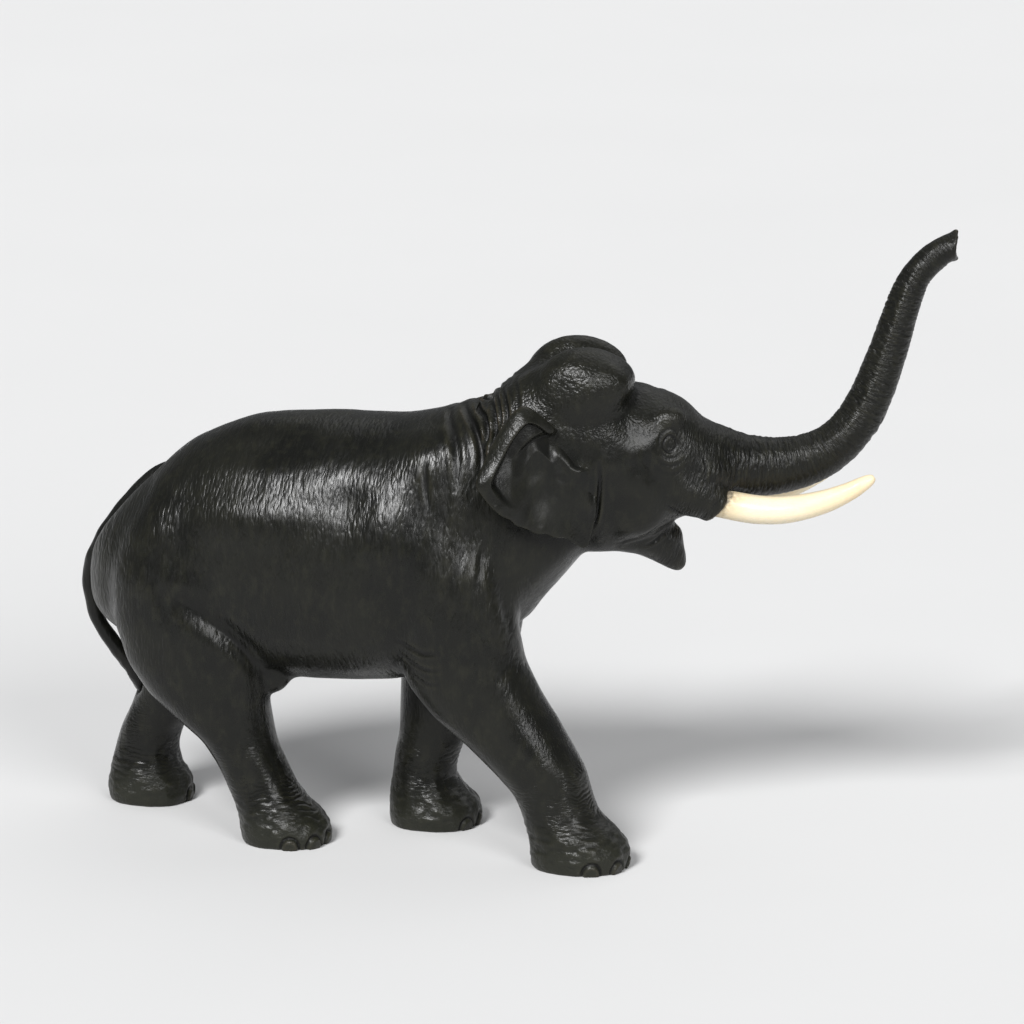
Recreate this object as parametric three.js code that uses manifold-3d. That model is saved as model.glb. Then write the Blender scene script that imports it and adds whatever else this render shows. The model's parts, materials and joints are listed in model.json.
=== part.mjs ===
// Carved wooden elephant, standing with one stride open, head turned to its left, trunk raised.
// Millimetres, +X towards the head, +Y to the elephant's left, +Z up. The soles rest on Z = 0 and
// the origin is the middle of the footprint box.
//
// The forms are lofts and spheres joined into one carving, which is then sawn along its glue lines
// into the blocks that it is built from. Dowels, tenons and tongues hold the blocks together.

import * as THREE from 'three';
import { mergeVertices } from 'three/addons/utils/BufferGeometryUtils.js';
import Module from 'manifold-3d';

const wasm = await Module();
wasm.setup();

// ---------------------------------------------------------------------------------------------
// Driving dimensions
// ---------------------------------------------------------------------------------------------

const GLUE_GAP = 0.3;            // between two faces that are glued or that touch
const PEG_CLEARANCE = 0.3;       // all round a dowel, tenon or tongue in its hole
const LEG_JOINT_Z = 97;          // level plane between the legs and the torso
const NECK_TOP = [-30, 0, 303];  // glue line of the head, from the nape folds ...
const NECK_FOOT = [38, 0, 170];  // ... down to the chest
const HEAD_PIVOT_X = 20;         // upright axis that the head is turned about
const HEAD_TURN = 25;            // degrees, towards the elephant's left
const TRUNK_JOINT = { u: 121, z: 249, fall: 0.12 };  // its middle, and how far its axis dips
const LEG_SPLIT_X = -115;        // between the front and the hind legs
const HUGE = 900;                // side of the blocks that stand for half spaces

const TUSK_ROOT = [108, -23, 229.5];   // centre of the right tusk's socket mouth, head coordinates
const TUSK_SLOPE = 12;           // degrees that the tenon points down
const TUSK_SPLAY = 2;            // degrees that it points outwards
const TENON_RADIUS = 6;
const TENON_LENGTH = 26;
const TENON_OVERLAP = 3;         // how far the tenon runs on inside the tusk

const TORSO_DOWEL = { radius: 5, length: 60 };
const NECK_DOWEL = { radius: 6, length: 50 };
const TRUNK_DOWEL = { radius: 5, length: 36 };
const LEG_DOWEL = { radius: 5, length: 34 };
const HOLE_END_SPACE = 2;        // room for glue past each end of a dowel
const ROD_SIDES = 16;

// ---------------------------------------------------------------------------------------------
// Materials
// ---------------------------------------------------------------------------------------------

const EBONISED = new THREE.MeshStandardMaterial({ color: 0x2a2a27, roughness: 0.42, metalness: 0 });
const CREAM = new THREE.MeshStandardMaterial({ color: 0xf2e3bd, roughness: 0.3, metalness: 0 });
const BEECH = new THREE.MeshStandardMaterial({ color: 0xb98d5c, roughness: 0.7, metalness: 0 });

// ---------------------------------------------------------------------------------------------
// Solids
// ---------------------------------------------------------------------------------------------

// A closed geometry as a solid that can be joined and cut.
function solidOf(geometry) {
  const plain = geometry.clone();
  plain.deleteAttribute('normal');
  plain.deleteAttribute('uv');
  const merged = mergeVertices(plain, 1e-3);
  return new wasm.Manifold(new wasm.Mesh({
    numProp: 3,
    vertProperties: new Float32Array(merged.attributes.position.array),
    triVerts: new Uint32Array(merged.index.array),
  }));
}

function geometryOf(solid) {
  const mesh = solid.getMesh();
  const geometry = new THREE.BufferGeometry();
  geometry.setAttribute('position', new THREE.BufferAttribute(mesh.vertProperties, 3));
  geometry.setIndex(new THREE.BufferAttribute(mesh.triVerts, 1));
  geometry.computeVertexNormals();
  return geometry;
}

const joined = (solids) => solids.reduce((all, one) => all.add(one));

// Section planes of a loft. Stations run along the third direction in increasing order, and
// "side" and "rise" are the directions of a section's half width and of its two half heights.
const ACROSS_X = { side: new THREE.Vector3(0, 1, 0), rise: new THREE.Vector3(0, 0, 1) };
const ACROSS_Z = { side: new THREE.Vector3(0, -1, 0), rise: new THREE.Vector3(1, 0, 0) };

// A solid swept through stations [x, y, z, half width, rise above, rise below]. The sections are
// rounded ovals. Without a fixed plane they stand square to the line through the stations.
function loftGeometry(stations, { plane = null, around = 20, rows = 2, fullness = 2 } = {}) {
  const line = new THREE.CatmullRomCurve3(stations.map((s) => new THREE.Vector3(s[0], s[1], s[2])));
  const sizes = new THREE.CatmullRomCurve3(stations.map((s) => new THREE.Vector3(s[3], s[4], s[5])));
  const geometry = new THREE.CylinderGeometry(1, 1, 1, around, (stations.length - 1) * rows);
  const position = geometry.attributes.position;
  const vertex = new THREE.Vector3();
  const bend = (value) => Math.sign(value) * Math.abs(value) ** (2 / fullness);
  for (let i = 0; i < position.count; i += 1) {
    vertex.fromBufferAttribute(position, i);
    const along = THREE.MathUtils.clamp(0.5 - vertex.y, 0, 1);
    const size = sizes.getPoint(along);
    let side = ACROSS_X.side;
    let rise = ACROSS_X.rise;
    if (plane) {
      ({ side, rise } = plane);
    } else {
      const tangent = line.getTangent(along);
      rise = tangent.clone().cross(side).normalize();
      side = rise.clone().cross(tangent).normalize();
    }
    const height = bend(vertex.z) * (vertex.z > 0 ? size.y : size.z);
    const point = line.getPoint(along);
    point.addScaledVector(side, bend(vertex.x) * size.x);
    point.addScaledVector(rise, height);
    position.setXYZ(i, point.x, point.y, point.z);
  }
  return geometry;
}

const loft = (stations, options) => solidOf(loftGeometry(stations, options));

function ellipsoid([x, y, z], [a, b, c], around = 18) {
  const geometry = new THREE.SphereGeometry(1, around, Math.round(around * 0.6));
  geometry.rotateX(Math.PI / 2);
  geometry.scale(a, b, c);
  geometry.translate(x, y, z);
  return geometry;
}

// A round peg or hole, centred on a point and lying along a direction.
function rod(centre, direction, radius, length) {
  const geometry = new THREE.CylinderGeometry(radius, radius, length, ROD_SIDES, 1);
  const turn = new THREE.Quaternion();
  turn.setFromUnitVectors(new THREE.Vector3(0, 1, 0), direction.clone().normalize());
  geometry.applyQuaternion(turn);
  geometry.translate(centre.x, centre.y, centre.z);
  return geometry;
}

// The half space behind a plane, drawn back from it by half a glue gap, as one huge block.
function behind(point, normal) {
  const away = normal.clone().normalize();
  const block = new THREE.BoxGeometry(HUGE, HUGE, HUGE);
  const turn = new THREE.Quaternion().setFromUnitVectors(new THREE.Vector3(1, 0, 0), away);
  const centre = point.clone().addScaledVector(away, -HUGE / 2 - GLUE_GAP / 2);
  block.applyQuaternion(turn);
  block.translate(centre.x, centre.y, centre.z);
  return solidOf(block);
}

const inFrontOf = (point, normal) => behind(point, normal.clone().negate());

// ---------------------------------------------------------------------------------------------
// Head coordinates: u forward and v left of the head, z up, turned about the pivot axis
// ---------------------------------------------------------------------------------------------

const headFrame = new THREE.Matrix4().makeTranslation(HEAD_PIVOT_X, 0, 0);
headFrame.multiply(new THREE.Matrix4().makeRotationZ(THREE.MathUtils.degToRad(HEAD_TURN)));

const onHead = (geometry) => solidOf(geometry.applyMatrix4(headFrame));
const headPoint = (u, v, z) => new THREE.Vector3(u, v, z).applyMatrix4(headFrame);
const headDirection = (u, v, z) => new THREE.Vector3(u, v, z).transformDirection(headFrame);

// The right side is modelled, and the left is its mirror across the head's middle plane.
const RIGHT = -1;
const LEFT = 1;

// ---------------------------------------------------------------------------------------------
// Body: barrel, legs
// ---------------------------------------------------------------------------------------------

// Barrel from the rump to the chest: x, y, z of the widest level, half width, up to the spine, down
const BARREL = [
  [-289, 0, 160, 4, 7, 7],
  [-286, 0, 161, 16, 22, 22],
  [-275, 0, 165, 32, 34, 37],
  [-254, 0, 171, 47, 52, 55],
  [-220, 0, 176, 59, 78, 69],
  [-176, 0, 178, 67, 95, 76],
  [-124, 0, 177, 71, 101, 74],
  [-76, 0, 179, 71, 101, 72],
  [-42, 0, 184, 66, 105, 65],
  [-14, 1, 190, 57, 107, 56],
  [10, 3, 197, 47, 94, 38],
  [30, 7, 205, 37, 76, 22],
  [44, 11, 213, 28, 58, 13],
];

// Legs from the sole up: x, y, z, half width across, forward, back. Only the right side is
// written: a left leg takes the same widths with its own stride.
const FRONT_RIGHT = [
  [50.5, -35, 0, 28, 31, 31],
  [51, -35, 9, 29, 32, 32.5],
  [47, -35, 22, 26, 29, 30.5],
  [38, -35, 35, 23, 24, 25.5],
  [34.5, -35, 46, 23.5, 23.5, 27],
  [24, -35, 62, 26, 29.5, 32],
  [11, -35, 77, 28.5, 34, 35],
  [-4.5, -35, 94, 30, 39.5, 42],
  [-17.5, -36, 112, 31, 41, 44],
  [-27.5, -37, 132, 32, 41, 43],
  [-33, -38, 160, 32, 42, 42],
  [-36, -37, 190, 31, 40, 38],
  [-38, -33, 222, 26, 30, 30],
  [-38, -28, 244, 12, 12, 12],
];
const FRONT_LEFT = [
  [-67, 33, 0, 28, 28.5, 29.5],
  [-67, 33, 9, 29, 30, 30.5],
  [-71, 33, 22, 25, 24, 26],
  [-74, 33, 33, 22, 19, 21.5],
  [-72.5, 34, 46, 22, 20.5, 21.5],
  [-68, 35, 62, 23.5, 22, 22.5],
  [-63, 35, 77, 26.5, 25, 27],
  [-56, 35, 94, 29.5, 31, 34],
  [-52, 36, 112, 31, 36, 38],
  [-49, 36, 132, 32, 38, 38],
  [-47, 37, 160, 31, 39, 38],
  [-45, 36, 190, 30, 37, 36],
  [-44, 33, 222, 26, 30, 30],
  [-42, 28, 244, 12, 12, 12],
];
const HIND_RIGHT = [
  [-146, -35, 0, 27, 28, 29],
  [-147, -35, 8, 28, 29, 29.5],
  [-152, -35, 21, 25.5, 25, 26.5],
  [-161.5, -35, 35, 22, 21.5, 23.5],
  [-168.5, -35, 50, 22, 21, 23.5],
  [-177.5, -35, 65, 24, 23, 25],
  [-187, -34, 78, 27, 29.5, 33],
  [-197, -34, 94, 30, 37.5, 42],
  [-203, -34, 114, 33, 45, 50],
  [-208, -33, 140, 35, 50, 55],
  [-212, -32, 170, 35, 50, 52],
  [-212, -29, 202, 31, 42, 43],
  [-212, -24, 238, 16, 20, 20],
];
const HIND_LEFT = [
  [-262, 33, 0, 26, 26.5, 27],
  [-263, 33, 8, 27, 27.5, 27.5],
  [-264, 33, 21, 24.5, 22, 25],
  [-263, 33, 35, 22, 17.5, 22.5],
  [-259, 33, 50, 22, 18, 22],
  [-250, 34, 65, 24, 21, 24],
  [-239, 34, 78, 27, 29, 31],
  [-228, 34, 94, 30, 37, 41],
  [-218, 34, 114, 33, 44, 50],
  [-212, 33, 140, 35, 50, 54],
  [-212, 32, 170, 35, 50, 52],
  [-212, 29, 202, 31, 42, 43],
  [-212, 24, 238, 16, 20, 20],
];

const LEG_STYLE = { plane: ACROSS_Z, around: 22, rows: 1, fullness: 2.25 };

// ---------------------------------------------------------------------------------------------
// Head: skull, domes, brows, cheeks, lower lip, tusk sheaths and trunk, in head coordinates
// ---------------------------------------------------------------------------------------------

const SKULL = [
  [-46, 0, 262, 18, 26, 30],
  [-32, 0, 262, 31, 43, 52],
  [-8, 0, 262, 39, 61, 60],
  [16, 0, 262, 41, 64, 65],
  [44, 0, 262, 41, 45, 66],
  [62, 0, 260, 39, 42, 58],
  [80, 0, 258, 37, 39, 42],
  [98, 0, 254, 31, 31, 33],
  [112, 0, 250, 25, 23.5, 23.5],
];
const TRUNK = [
  [84, 0, 257, 33, 34, 34],
  [102, 0, 252.5, 27, 27.5, 27.5],
  [120, 0, 249, 22, 21.5, 21.5],
  [142, 0, 247.5, 19, 19, 19],
  [161, 0, 249.5, 17.4, 17.2, 17.2],
  [179, 0, 256.5, 16, 15.8, 15.8],
  [193.5, 0, 269, 14.9, 14.7, 14.7],
  [205, 0, 287, 14.2, 14.1, 14.1],
  [214, 0, 309, 13.2, 13.2, 13.2],
  [221.5, 0, 332, 12.2, 12.2, 12.2],
  [228, 0, 353, 11.2, 11, 11],
  [235, 0, 368.5, 10.1, 9.9, 9.9],
  [244.5, 0, 379, 9.6, 9.4, 9.4],
  [254.5, 0, 385.5, 9.9, 9.7, 9.7],
  [263, 0, 389, 10.8, 10.6, 10.6],
];
// Hollow in the trunk's end, from its bottom out past the rim
const NOSTRIL = [
  [249, 0, 382.5, 3.5, 3.5, 3.5],
  [257, 0, 386.5, 5.5, 5, 5],
  [267, 0, 390.8, 8.2, 7.8, 7.8],
];
const LOWER_LIP = [
  [30, 0, 212, 24, 18, 12],
  [46, 0, 209, 24, 18, 14],
  [60, 0, 203, 20, 20, 11],
  [72, 0, 195, 13, 20, 9],
  [80, 0, 186, 7, 10, 5.5],
  [84, 0, 182.5, 3, 3.5, 2.5],
];

function tuskSheath(side) {
  const v = side * -TUSK_ROOT[1];
  return onHead(loftGeometry([
    [58, v, 252, 14, 15, 15],
    [76, v, 244, 16, 16.5, 16.5],
    [92, v, 235.5, 15, 15, 15],
    [103, v, 231, 12.6, 12.8, 12.8],
    [TUSK_ROOT[0], v, TUSK_ROOT[2], 10.6, 11, 11],
  ], { around: 16, rows: 1 }));
}

function headCarving() {
  const forms = [
    onHead(loftGeometry(SKULL, { plane: ACROSS_X, around: 24, rows: 2, fullness: 2.2 })),
    onHead(loftGeometry(TRUNK, { around: 16, rows: 2 })),
    onHead(loftGeometry(LOWER_LIP, { around: 14, rows: 1 })),
  ];
  for (const side of [RIGHT, LEFT]) {
    forms.push(onHead(ellipsoid([19.5, side * 17, 306], [33.5, 26, 27], 16)));
    forms.push(onHead(ellipsoid([68, side * 24, 281], [17, 11, 12], 12)));
    forms.push(onHead(ellipsoid([50, side * 27, 238], [26, 12.5, 28], 12)));
    forms.push(tuskSheath(side));
  }
  return joined(forms);
}

// ---------------------------------------------------------------------------------------------
// Ears: a thin bowl-shaped leaf with a tongue, in head coordinates (right side)
// ---------------------------------------------------------------------------------------------

// Edge of the leaf from its front, over the top and round the rear to the lobe: u, z
const EAR_EDGE = [
  [25, 250], [21, 276], [6, 295], [-16, 303], [-38, 287],
  [-54, 262], [-51, 244], [-30, 226], [-8, 215], [12, 209], [24, 222],
];
const EAR_MIDDLE = [-10, 258];
// How far out the leaf's middle stands, its outward slope, how far it hangs below EAR_EDGE, and
// where its tongue starts. The left ear is pushed out and down by the shoulder beside it.
const EAR_STANCE = {
  [RIGHT]: { out: 49, splay: 0.2, drop: 0, tongue: 44 },
  [LEFT]: { out: 66, splay: 0.75, drop: 9, tongue: 47 },
};
const EAR_BOWL = 9;              // depth of the bowl
const EAR_THICKNESS = 7;
const EAR_TONGUE = { u: [4, 20], z: [240, 266], depth: 17 };

function earLeaf(side, margin) {
  const edge = new THREE.CatmullRomCurve3(
    EAR_EDGE.map(([u, z]) => new THREE.Vector3(u, 0, z)),
    true,
  );
  const middle = new THREE.Vector3(EAR_MIDDLE[0], 0, EAR_MIDDLE[1]);
  const geometry = new THREE.SphereGeometry(1, 28, 10);
  const position = geometry.attributes.position;
  const vertex = new THREE.Vector3();
  for (let i = 0; i < position.count; i += 1) {
    vertex.fromBufferAttribute(position, i);
    const reach = Math.min(1, Math.hypot(vertex.x, vertex.z));
    const angle = Math.atan2(vertex.z, vertex.x);
    const rim = edge.getPoint((angle / (2 * Math.PI) + 1) % 1);
    const radius = rim.distanceTo(middle);
    const point = middle.clone().lerp(rim, reach * (1 + margin / radius));
    const { out, splay, drop } = EAR_STANCE[side];
    const depth = out + splay * (EAR_MIDDLE[0] - point.x) + EAR_BOWL * (reach ** 2 - 0.5);
    const half = EAR_THICKNESS / 2 + margin;
    position.setXYZ(i, point.x, side * depth + vertex.y * half, point.z - drop);
  }
  return geometry;
}

function earTongue(side, margin) {
  const { u, z, depth } = EAR_TONGUE;
  const tongue = new THREE.BoxGeometry(
    u[1] - u[0] + 2 * margin,
    depth + 2 * margin,
    z[1] - z[0] + 2 * margin,
  );
  const out = EAR_STANCE[side].tongue - depth / 2;
  tongue.translate((u[0] + u[1]) / 2, side * out, (z[0] + z[1]) / 2);
  return tongue;
}

const ear = (side, margin = 0) => onHead(earLeaf(side, margin)).add(onHead(earTongue(side, margin)));

// ---------------------------------------------------------------------------------------------
// Tail and tusks
// ---------------------------------------------------------------------------------------------

// Tail from its peg in the rump down to the tip against the left hind leg
const TAIL = [
  [-214, 0, 226, 5.8, 5.8, 5.8],
  [-231, 0, 235, 6.2, 6.2, 6.2],
  [-247, 0, 226, 6.2, 6.2, 6.2],
  [-264, 0, 207, 6, 6, 6],
  [-281, 0, 183, 5.8, 5.8, 5.8],
  [-292, 3, 157, 5.5, 5.5, 5.5],
  [-290, 8, 128, 5.2, 5.2, 5.2],
  [-279, 14, 106, 5.4, 5.4, 5.4],
  [-269, 20, 90, 6, 6, 6],
  [-265, 24, 78, 5, 5, 5],
  [-264, 25, 72, 2, 2, 2],
];

function tail(margin = 0) {
  const stations = TAIL.map(([x, y, z, ...sizes]) => [x, y, z, ...sizes.map((s) => s + margin)]);
  return loft(stations, { around: 10, rows: 2 });
}

// Right tusk from its root to its tip: u, v, z, radius
const TUSK = [
  [108.2, -23, 229.4, 9.4],
  [118, -23.4, 227.3, 9.6],
  [130, -24, 225.2, 9.5],
  [145, -25, 224.6, 9.2],
  [160, -26.3, 226.6, 8.5],
  [175, -27.8, 230.6, 7.4],
  [188, -29, 236, 5.9],
  [198, -29.8, 241.6, 4.2],
  [204, -30.2, 245.6, 1.8],
];

function tenonDirection(side) {
  const slope = THREE.MathUtils.degToRad(TUSK_SLOPE);
  const splay = THREE.MathUtils.degToRad(TUSK_SPLAY);
  const level = Math.cos(slope);
  return headDirection(level * Math.cos(splay), side * level * Math.sin(splay), -Math.sin(slope));
}

function tuskTenon(side, extraRadius, extraLength) {
  const direction = tenonDirection(side);
  const mouth = headPoint(TUSK_ROOT[0], side * -TUSK_ROOT[1], TUSK_ROOT[2]);
  const length = TENON_LENGTH + extraLength + TENON_OVERLAP;
  const centre = mouth.addScaledVector(direction, TENON_OVERLAP - length / 2);
  return solidOf(rod(centre, direction, TENON_RADIUS + extraRadius, length));
}

function tusk(side, margin = 0) {
  const stations = TUSK.map(([u, v, z, r]) => [u, side * -v, z, r + margin, r + margin, r + margin]);
  const extraLength = margin > 0 ? HOLE_END_SPACE : 0;
  const shaft = onHead(loftGeometry(stations, { around: 14, rows: 1 }));
  return shaft.add(tuskTenon(side, margin, extraLength));
}

// ---------------------------------------------------------------------------------------------
// Joints: every dowel is a rod through the middle of its glue line
// ---------------------------------------------------------------------------------------------

const across = new THREE.Vector3(0, 1, 0);
const upright = new THREE.Vector3(0, 0, 1);
const neckNormal = new THREE.Vector3(
  NECK_TOP[2] - NECK_FOOT[2],
  0,
  NECK_FOOT[0] - NECK_TOP[0],
).normalize();
const neckPoint = new THREE.Vector3(...NECK_TOP);
const trunkPoint = headPoint(TRUNK_JOINT.u, 0, TRUNK_JOINT.z);
const trunkNormal = headDirection(1, 0, -TRUNK_JOINT.fall).normalize();

const dowels = [];
function addDowel(name, centre, direction, { radius, length }) {
  const hole = rod(centre, direction, radius + PEG_CLEARANCE, length + 2 * HOLE_END_SPACE);
  dowels.push({ name, geometry: rod(centre, direction, radius, length), hole: solidOf(hole) });
}

for (const [name, x, z] of [['rear', -225, 190], ['middle', -125, 190], ['front', -45, 205]]) {
  addDowel(`torso_dowel_${name}`, new THREE.Vector3(x, 0, z), across, TORSO_DOWEL);
}
for (const [name, share, y] of [['upper', 0.3, -12], ['lower', 0.62, 16]]) {
  const centre = new THREE.Vector3(...NECK_TOP).lerp(new THREE.Vector3(...NECK_FOOT), share);
  centre.y = y;
  addDowel(`neck_dowel_${name}`, centre, neckNormal, NECK_DOWEL);
}
addDowel('trunk_dowel', trunkPoint, trunkNormal, TRUNK_DOWEL);

const LEGS = [
  { name: 'leg_front_right', stations: FRONT_RIGHT, dowelX: [-15, 9] },
  { name: 'leg_front_left', stations: FRONT_LEFT, dowelX: [-74, -52] },
  { name: 'leg_hind_right', stations: HIND_RIGHT, dowelX: [-206, -179] },
  { name: 'leg_hind_left', stations: HIND_LEFT, dowelX: [-247, -222] },
];
for (const { name, stations, dowelX } of LEGS) {
  dowelX.forEach((x, index) => {
    const centre = new THREE.Vector3(x, stations[0][1], LEG_JOINT_Z);
    addDowel(`${name}_dowel_${index + 1}`, centre, upright, LEG_DOWEL);
  });
}

// ---------------------------------------------------------------------------------------------
// Carving and sawing
// ---------------------------------------------------------------------------------------------

const legForms = LEGS.map(({ stations }) => loft(stations, LEG_STYLE));
const barrel = loft(BARREL, { plane: ACROSS_X, around: 28, rows: 2, fullness: 2.15 });
const headForm = headCarving();

const floorCut = new THREE.BoxGeometry(HUGE, HUGE, HUGE).translate(0, 0, -HUGE / 2);
const withoutHoles = dowels.reduce((solid, dowel) => solid.subtract(dowel.hole), joined([
  barrel,
  headForm,
  ...legForms,
])).subtract(solidOf(floorCut));

const legTop = new THREE.Vector3(0, 0, LEG_JOINT_Z);
const middle = new THREE.Vector3(0, 0, 0);
const aboveLegs = withoutHoles.intersect(inFrontOf(legTop, upright));
const belowLegs = withoutHoles.intersect(behind(legTop, upright));
const torso = aboveLegs.intersect(behind(neckPoint, neckNormal)).subtract(tail(GLUE_GAP));
const headAndTrunk = aboveLegs.intersect(inFrontOf(neckPoint, neckNormal));

let head = headAndTrunk.intersect(behind(trunkPoint, trunkNormal));
for (const side of [RIGHT, LEFT]) {
  head = head.subtract(ear(side, PEG_CLEARANCE));
  head = head.subtract(tusk(side, PEG_CLEARANCE));
}

const nostril = onHead(loftGeometry(NOSTRIL, { around: 12, rows: 1 }));
let trunk = headAndTrunk.intersect(inFrontOf(trunkPoint, trunkNormal)).subtract(nostril);
for (const side of [RIGHT, LEFT]) {
  trunk = trunk.subtract(tusk(side, PEG_CLEARANCE));
}

// The part of a leg block on its own side of the body and its own half of the length
function legBlock({ stations }) {
  const [x, y] = stations[0];
  const split = new THREE.Vector3(LEG_SPLIT_X, 0, 0);
  const forward = new THREE.Vector3(1, 0, 0);
  const lengthwise = x > LEG_SPLIT_X ? inFrontOf(split, forward) : behind(split, forward);
  const sideways = y > 0 ? inFrontOf(middle, across) : behind(middle, across);
  return belowLegs.intersect(lengthwise).intersect(sideways).subtract(tail(GLUE_GAP));
}

// ---------------------------------------------------------------------------------------------
// Assembly
// ---------------------------------------------------------------------------------------------

const group = new THREE.Group();

function addPiece(name, geometry, material) {
  const mesh = new THREE.Mesh(geometry, material);
  mesh.name = name;
  group.add(mesh);
}

addPiece('torso_right', geometryOf(torso.intersect(behind(middle, across))), EBONISED);
addPiece('torso_left', geometryOf(torso.intersect(inFrontOf(middle, across))), EBONISED);
addPiece('head', geometryOf(head), EBONISED);
addPiece('trunk', geometryOf(trunk), EBONISED);
for (const leg of LEGS) {
  addPiece(leg.name, geometryOf(legBlock(leg)), EBONISED);
}
addPiece('ear_right', geometryOf(ear(RIGHT).subtract(torso)), EBONISED);
addPiece('ear_left', geometryOf(ear(LEFT).subtract(torso)), EBONISED);
addPiece('tail', geometryOf(tail()), EBONISED);
addPiece('tusk_right', geometryOf(tusk(RIGHT)), CREAM);
addPiece('tusk_left', geometryOf(tusk(LEFT)), CREAM);
for (const { name, geometry } of dowels) {
  addPiece(name, geometry, BEECH);
}

// The origin goes to the middle of the footprint box
const box = new THREE.Box3().setFromObject(group);
const centre = box.getCenter(new THREE.Vector3());
group.position.set(-centre.x, -centre.y, -box.min.z);

export default group;
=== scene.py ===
# Looks of the carved wooden elephant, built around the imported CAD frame.
#
# The sawn blocks are fused into one carving, smoothed, sculpted and cut along the same glue lines
# again. Ears, tail and tusks are carved on their own. Part coordinates are millimetres from the
# point of the floor below the body's glue line; head coordinates turn with the head.
import json
import math

import bmesh
import bpy
import numpy as np
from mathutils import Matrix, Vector
from mathutils.bvhtree import BVHTree


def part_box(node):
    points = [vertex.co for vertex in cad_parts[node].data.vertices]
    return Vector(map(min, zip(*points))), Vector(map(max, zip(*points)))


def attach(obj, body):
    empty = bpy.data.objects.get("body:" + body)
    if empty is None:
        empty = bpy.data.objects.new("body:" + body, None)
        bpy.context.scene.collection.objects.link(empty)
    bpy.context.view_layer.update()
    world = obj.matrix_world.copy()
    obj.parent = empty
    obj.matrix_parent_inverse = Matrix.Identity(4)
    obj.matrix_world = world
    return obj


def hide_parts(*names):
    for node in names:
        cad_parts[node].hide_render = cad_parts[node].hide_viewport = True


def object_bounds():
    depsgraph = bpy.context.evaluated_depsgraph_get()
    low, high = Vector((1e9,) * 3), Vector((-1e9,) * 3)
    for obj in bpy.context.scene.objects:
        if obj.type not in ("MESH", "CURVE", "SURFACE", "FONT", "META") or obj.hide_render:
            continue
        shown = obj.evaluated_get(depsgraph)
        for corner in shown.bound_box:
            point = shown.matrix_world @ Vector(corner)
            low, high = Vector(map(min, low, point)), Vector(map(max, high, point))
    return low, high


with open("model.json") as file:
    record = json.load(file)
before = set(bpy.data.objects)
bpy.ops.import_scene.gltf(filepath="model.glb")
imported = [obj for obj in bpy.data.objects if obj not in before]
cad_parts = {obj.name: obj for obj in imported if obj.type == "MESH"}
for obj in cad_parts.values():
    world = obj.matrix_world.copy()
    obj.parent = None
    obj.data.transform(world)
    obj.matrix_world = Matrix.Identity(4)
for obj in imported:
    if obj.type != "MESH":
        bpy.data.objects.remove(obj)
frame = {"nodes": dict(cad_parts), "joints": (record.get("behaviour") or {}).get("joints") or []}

first_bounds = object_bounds()

# ---------- Places

MM = 0.001
UP = np.array([0.0, 0.0, 1.0])


def span(node):
    low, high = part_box(node)
    return np.array(low), np.array(high)


def middle(node):
    low, high = span(node)
    return (low + high) / 2


SEAM_Y = (span("torso_right")[1][1] + span("torso_left")[0][1]) / 2
LEG_JOINT_Z = (span("leg_front_right")[1][2] + span("torso_right")[0][2]) / 2
ORIGIN = np.array([middle("leg_front_right_dowel_1")[0] + 15 * MM, SEAM_Y, 0.0])

AXES = {j["child"]: np.array(j["axis"], float) for j in frame["joints"]}
FORWARD = AXES["tusk_right"] + AXES["tusk_left"]
FORWARD[2] = 0
FORWARD /= np.linalg.norm(FORWARD)
LEFTWARD = np.cross(UP, FORWARD)
PIVOT = ORIGIN + np.array([20 * MM, 0, 0])

RIGHT = -1
LEFT = 1

SPLINE_STEPS = 24  # between two stations of a curve


def body(points):
    """Part coordinates to metres in the frame."""
    return ORIGIN + np.asarray(points, float) * MM


def head(points):
    """Head coordinates (forward, left, up) to metres in the frame."""
    p = np.asarray(points, float) * MM
    return PIVOT + p[..., :1] * FORWARD + p[..., 1:2] * LEFTWARD + p[..., 2:3] * UP


def to_head(co):
    """Metres in the frame to head coordinates in millimetres."""
    p = co - PIVOT
    return np.stack([p @ FORWARD, p @ LEFTWARD, p @ UP], axis=1) / MM


def to_body(co):
    return (co - ORIGIN) / MM


NECK = (body([-30, 0, 303]), np.array([133.0, 0, 68.0]) / math.hypot(133, 68))
TRUNK_CUT = (head([121, 0, 249]), (FORWARD - 0.12 * UP) / math.hypot(1, 0.12))
SOCKET = {
    "tusk_right": head([108, -23, 229.5]),
    "tusk_left": head([108, 23, 229.5]),
}


def smooth(edge0, edge1, x):
    t = np.clip((x - edge0) / (edge1 - edge0), 0, 1)
    return t * t * (3 - 2 * t)


def noise(points, period, seed):
    """Smooth random values from -1 to 1 over space."""
    q = points / period
    base = np.floor(q).astype(np.int64)
    f = q - base
    f = f * f * (3 - 2 * f)
    total = np.zeros(len(q))
    for corner in range(8):
        bits = np.array([corner & 1, corner >> 1 & 1, corner >> 2 & 1])
        c = base + bits
        h = c[:, 0] * 73856093 ^ c[:, 1] * 19349663 ^ c[:, 2] * 83492791 ^ seed * 668265263
        h &= 0xFFFFFFFF
        h = (h ^ (h >> 13)) * 1274126177 & 0xFFFFFFFF
        value = ((h ^ (h >> 16)) & 0xFFFF) / 65535.0
        total += np.prod(np.where(bits, f, 1 - f), axis=1) * value
    return total * 2 - 1


# ---------- Meshes


def new_object(name, data):
    obj = bpy.data.objects.new(name, data)
    bpy.context.scene.collection.objects.link(obj)
    return obj


def mesh_from(name, vertices, faces):
    mesh = bpy.data.meshes.new(name)
    mesh.from_pydata([tuple(v) for v in vertices], [], [tuple(f) for f in faces])
    mesh.update()
    return mesh


def positions(mesh):
    co = np.empty(len(mesh.vertices) * 3)
    mesh.vertices.foreach_get("co", co)
    return co.reshape(-1, 3)


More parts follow.
